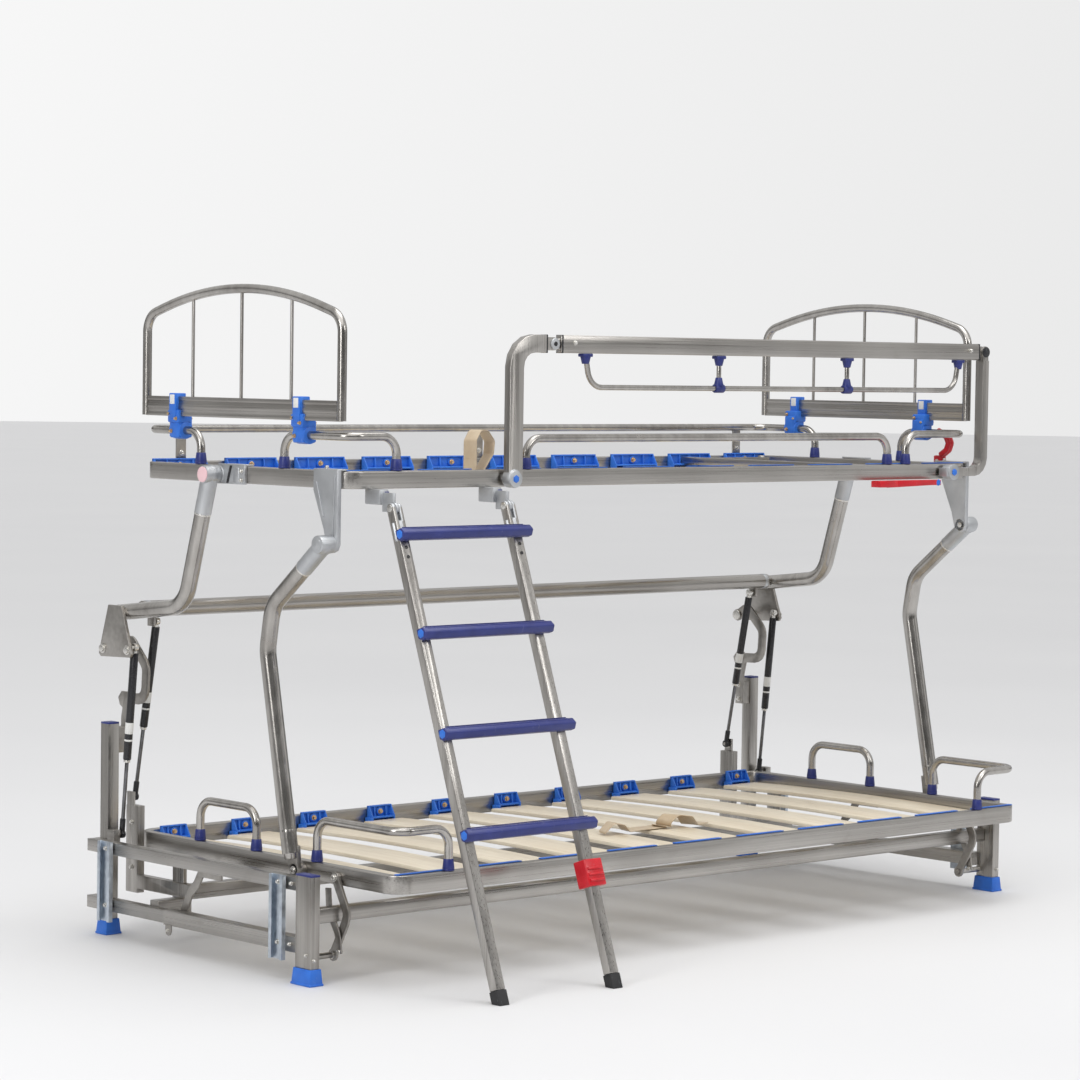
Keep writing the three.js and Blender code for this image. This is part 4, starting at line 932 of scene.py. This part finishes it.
board.both_ends("headboard_frame", "headboard_SIDE", "steel", "headboard")


# ---------------- ladder
# Two flat stiles hung on the upper bed by forked castings, four hollow treads riveted on
# their front, and black rubber ferrules. It leans out from the bed.
down = (at(0, -370, 0) - at(0, *LADDER_HINGE)).normalized()
outward = Vector((0, down.z, -down.y))
for hand, x in STILES.items():
    stile = Shell(steel_z, casting, black)
    stile.copied(f"ladder_stile_{hand}", 0.002)
    head = at(x, *LADDER_HINGE)
    for face in stile.mesh.faces:
        if (face.calc_center_median() - head).dot(down) < 0.066:
            face.material_index = 1
    stile.bar(head + down * 0.03, head + down * 0.07, 0.0158, 1, 0.002, 4)
    for distance in (0.085, 0.105):
        spot = head + down * distance + outward * 0.011
        stile.bar(spot, spot + outward * 0.001, 0.0036, 2, 0.0002, 16)
    stile.place(f"ladder_stile_tube_{hand}", "ladder", "steel", (f"ladder_stile_{hand}",))
    ferrule = Shell(rubber)
    ferrule.copied(f"ladder_foot_{hand}", 0.0014)
    ferrule.place(f"ladder_ferrule_{hand}", "ladder", "black_rubber", (f"ladder_foot_{hand}",))

# The treads are hollow six-sided mouldings, closed by lighter wedge-shaped end plugs.
for index in range(4):
    node = f"ladder_rung_{index + 1}"
    tread = Shell(navy, blue)
    tread.copied(node, 0.0024)
    low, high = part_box(node)
    half_plug = Vector((0.003, 0, 0))
    for x in (low.x + 0.002, high.x - 0.002):
        centre = Vector((x, (low.y + high.y) / 2, (low.z + high.z) / 2))
        tread.bar(centre - half_plug, centre + half_plug, 0.0098, 1, 0.001, 6)
    for line in (0.3, 0.5, 0.7):
        y = low.y + (high.y - low.y) * line
        tread.block(
            Vector((low.x + 0.012, y - 0.0012, high.z - 0.0052 + line * 0.006)),
            Vector((high.x - 0.012, y + 0.0012, high.z - 0.0034 + line * 0.006)),
            0.0004,
        )
    tread.place(f"ladder_tread_{index + 1}", "ladder", "navy", (node,))

# A glossy red latch that slides on the right stile.
latch = Shell(red)
latch.copied("ladder_clip", 0.0025)
low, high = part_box("ladder_clip")
half_rib = Vector((0.02, 0, 0))
for step in (-0.016, -0.004, 0.008):
    spot = (low + high) / 2 - down * step + outward * 0.018
    latch.bar(spot - half_rib, spot + half_rib, 0.003, 0, 0.0008)
latch.place("ladder_latch", "ladder_clip", "red", ("ladder_clip",))


# ---------------- red release levers
# Under the front rail a flat lever with a moulded grip, and at the right corner a C-shaped
# handle that locks the upper bed.
lever = Shell(red, bright, blue)
lever.copied("release_lever", 0.003)
lever.bar(at(1880, 8.4, 989), at(1880, 10.4, 989), 0.0075, 2, 0.0008)
lever.plate(
    [at(x, 8.6, z) for x, z in ((1700, 996), (1880, 996), (1884, 984), (1742, 980), (1700, 979))],
    Vector((0, 0.0015, 0)),
    0.0005,
)
lever.place("release_lever_moulded", "release_lever", "red", ("release_lever",))

handle = Shell(red, bright)
grip = [(142, 1026), (134, 1050), (116, 1062), (110, 1078), (118, 1094), (136, 1100), (150, 1106)]
handle.tube(upright(2037, grip), 0.008, 0.0085)
handle.tube(upright(2030, grip[1:-1]), 0.008, 0.007)
handle.block(at(2026, 130, 1024), at(2046, 154, 1048), 0.003)
handle.block(at(2028, 138, 1094), at(2046, 154, 1110), 0.003)
bolt(handle, at(2026, 142, 1034), LEFT, 0.004, 1)
handle.place("lock_handle_moulded", "lock_handle", "red", ("lock_handle",))


# ---------------- webbing loops
# Beige satin-woven webbing: one loop stands at the front of the upper bed, screwed through
# a white plate, and a longer one lies curled on the lower slats.
RIBS, WARP = 900.0, 150.0
WEBBING_WIDTH = 0.042


def woven():
    made = Finish("beige_webbing")
    chart = made.node("ShaderNodeTexCoord", {}, {}).outputs["UV"]
    split = made.node("ShaderNodeSeparateXYZ", {}, {0: chart})
    across, lengthwise = Level(made, split.outputs[1]), Level(made, split.outputs[0])
    ribs = lengthwise.maths("SINE", lengthwise * RIBS, 0.0)
    warp = across.maths("SINE", across * WARP, 0.0)
    cloud = made.noise(40.0, 3.0)
    weave = ribs * warp * 0.25 + 0.5
    colour = made.mixed(weave.clamped(), shade(0.38, 0.27, 0.16), shade(0.66, 0.53, 0.37))
    colour = made.mixed((cloud * 1.4 - 0.3).clamped() * 0.5, colour, shade(0.78, 0.68, 0.52))
    return made.wears(colour, 0.34 + 0.14 * cloud, weave, 0.00012)


webbing = woven()


def ribbon(name, route, across, width, body, node):
    """A flat band led along a route; across is the direction of its width at each end."""
    points = rounded_route([at(*place) for place in route], 0.012)
    spans = [(b - a).length for a, b in zip(points, points[1:])]
    mesh = bmesh.new()
    mesh.loops.layers.uv.new("UVMap")
    bmesh.ops.create_grid(
        mesh, x_segments=len(points) - 1, y_segments=4, size=0.5, calc_uvs=True
    )
    for vert in mesh.verts:
        index = round((vert.co.x + 0.5) * (len(points) - 1))
        side = vert.co.y * width
        lean = across[0].lerp(across[1], index / (len(points) - 1)).normalized()
        vert.co = points[index] + lean * side
    data = bpy.data.meshes.new(name)
    mesh.to_mesh(data)
    mesh.free()
    data.materials.append(webbing)
    data.shade_smooth()
    band = shown(name, data)
    smooth = band.modifiers.new("smooth", "SUBSURF")
    smooth.levels = smooth.render_levels = 2
    thick = band.modifiers.new("thickness", "SOLIDIFY")
    thick.thickness = 0.0016
    thick.offset = 0
    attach(band, body)
    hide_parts(node)


REAR = Vector((0, 1, 0))
ribbon(
    "upper_webbing_loop",
    [
        *((494, 100, 1016), (493, 99, 1052), (492, 98, 1092), (506, 98, 1114), (528, 99, 1112)),
        *((548, 100, 1090), (545, 100, 1062), (522, 101, 1030), (508, 102, 1017)),
    ],
    (REAR, (REAR + Vector((0.25, 0, 0))).normalized()),
    WEBBING_WIDTH,
    "upper_bed",
    "strap_upper",
)
ribbon(
    "lower_webbing_band",
    [
        *((1286, 184, 214), (1240, 176, 213), (1212, 166, 236), (1172, 168, 242)),
        *((1146, 178, 218), (1172, 184, 213.5), (1160, 190, 213), (1082, 186, 214)),
        *((1040, 178, 214), (1016, 170, 232), (986, 170, 238), (962, 174, 216)),
    ],
    ((REAR + Vector((-0.5, 0, 0))).normalized(), (REAR + Vector((0.4, 0, 0))).normalized()),
    WEBBING_WIDTH,
    "base",
    "strap_lower",
)
plate = Shell(white, bright)
plate.block(at(478, 78, 1011), at(528, 120, 1015.4), 0.001)
bolt(plate, at(486, 92, 1015.4), UP, 0.0045, 1)
plate.place("webbing_plate", "upper_bed", "webbing")


# ---------------- studio
# A wide pale floor under a soft overhead light and a broad skylight, with low fills from the
# left and the front. Polished parts mirror a room of soft dark and light patches.
def pale_floor():
    made = Finish("studio_floor")
    cloud = made.noise(0.7, 2.0)
    colour = made.mixed(cloud, shade(0.69, 0.69, 0.7), shade(0.73, 0.73, 0.735))
    return made.wears(colour, 0.55 + 0.1 * cloud, cloud, 0.0001)


ground = bmesh.new()
bmesh.ops.create_circle(ground, cap_ends=True, segments=96, radius=60)
floor_mesh = bpy.data.meshes.new("floor")
ground.to_mesh(floor_mesh)
ground.free()
floor_mesh.materials.append(pale_floor())
floor = shown("floor", floor_mesh)

world = bpy.data.worlds.new("studio")
bpy.context.scene.world = world
world.use_nodes = True
sky = Nodes(world.node_tree)


def ramp(fac, stops):
    made = sky.node("ShaderNodeValToRGB", {}, {0: fac})
    for _ in stops[2:]:
        made.color_ramp.elements.new(0.5)
    for element, (position, tone) in zip(made.color_ramp.elements, stops):
        element.position = position
        element.color = (tone, tone, tone, 1)
    return made.outputs[0]


def towards(direction):
    """How far a ray points along a direction, from 0 for away to 1 for along."""
    values = {0: way, 1: direction}
    dot = sky.node("ShaderNodeVectorMath", {"operation": "DOT_PRODUCT"}, values)
    values = {0: dot.outputs["Value"], 1: 0.5, 2: 0.5}
    return sky.node("ShaderNodeMath", {"operation": "MULTIPLY_ADD"}, values).outputs[0]


way = sky.node("ShaderNodeTexCoord", {}, {}).outputs["Generated"]
cloud = sky.node("ShaderNodeTexNoise", {}, {"Vector": way, "Scale": 2.2, "Detail": 1.0})
patches = ramp(cloud.outputs["Fac"], ((0.44, 0.14), (0.56, 0.78)))
behind_camera = ramp(towards((-0.674, -0.738, 0)), ((0.45, 1.0), (0.72, 0.1)))
overhead = ramp(towards((0, 0, 1)), ((0.56, 0.0), (0.78, 1.0)))
mixed_sides = sky.node(
    "ShaderNodeMix",
    {"data_type": "RGBA", "blend_type": "MULTIPLY"},
    {0: 1.0, 6: patches, 7: behind_camera},
).outputs[2]
room = sky.node(
    "ShaderNodeMix",
    {"data_type": "RGBA"},
    {0: overhead, 6: mixed_sides, 7: (0.74, 0.74, 0.74, 1)},
).outputs[2]
paper = ramp(towards((-0.738, 0.674, 0.25)), ((0.4, 0.81), (0.62, 0.95)))
seen = sky.node("ShaderNodeLightPath", {}, {}).outputs["Is Camera Ray"]
backdrop = sky.node("ShaderNodeMix", {"data_type": "RGBA"}, {0: seen, 6: room, 7: paper})
shining = sky.node("ShaderNodeBackground", {}, {0: backdrop.outputs[2]})
sky.node("ShaderNodeOutputWorld", {}, {0: shining.outputs[0]})


def softbox(name, place, target, wide, tall, power):
    lamp = bpy.data.lights.new(name, "AREA")
    lamp.shape = "RECTANGLE"
    lamp.size = wide
    lamp.size_y = tall
    lamp.energy = power
    holder = shown(name, lamp)
    holder.location = place
    holder.rotation_euler = (target - place).to_track_quat("-Z", "Y").to_euler()


softbox("overhead", Vector((0.4, -0.4, 4.6)), Vector((0, 0, 0.4)), 3.0, 2.4, 60)
softbox("left_fill", Vector((-4.8, -1.2, 2.4)), Vector((0, 0, 0.7)), 1.2, 2.6, 60)
softbox("front_fill", Vector((1.6, -5.5, 3.4)), Vector((0, 0, 0.6)), 1.6, 1.6, 45)
sun = bpy.data.lights.new("skylight", "SUN")
sun.energy = 1.0
sun.angle = radians(70)
holder = shown("skylight", sun)
holder.rotation_euler = (radians(24), radians(-16), 0)
bpy.context.scene.view_settings.view_transform = "Standard"
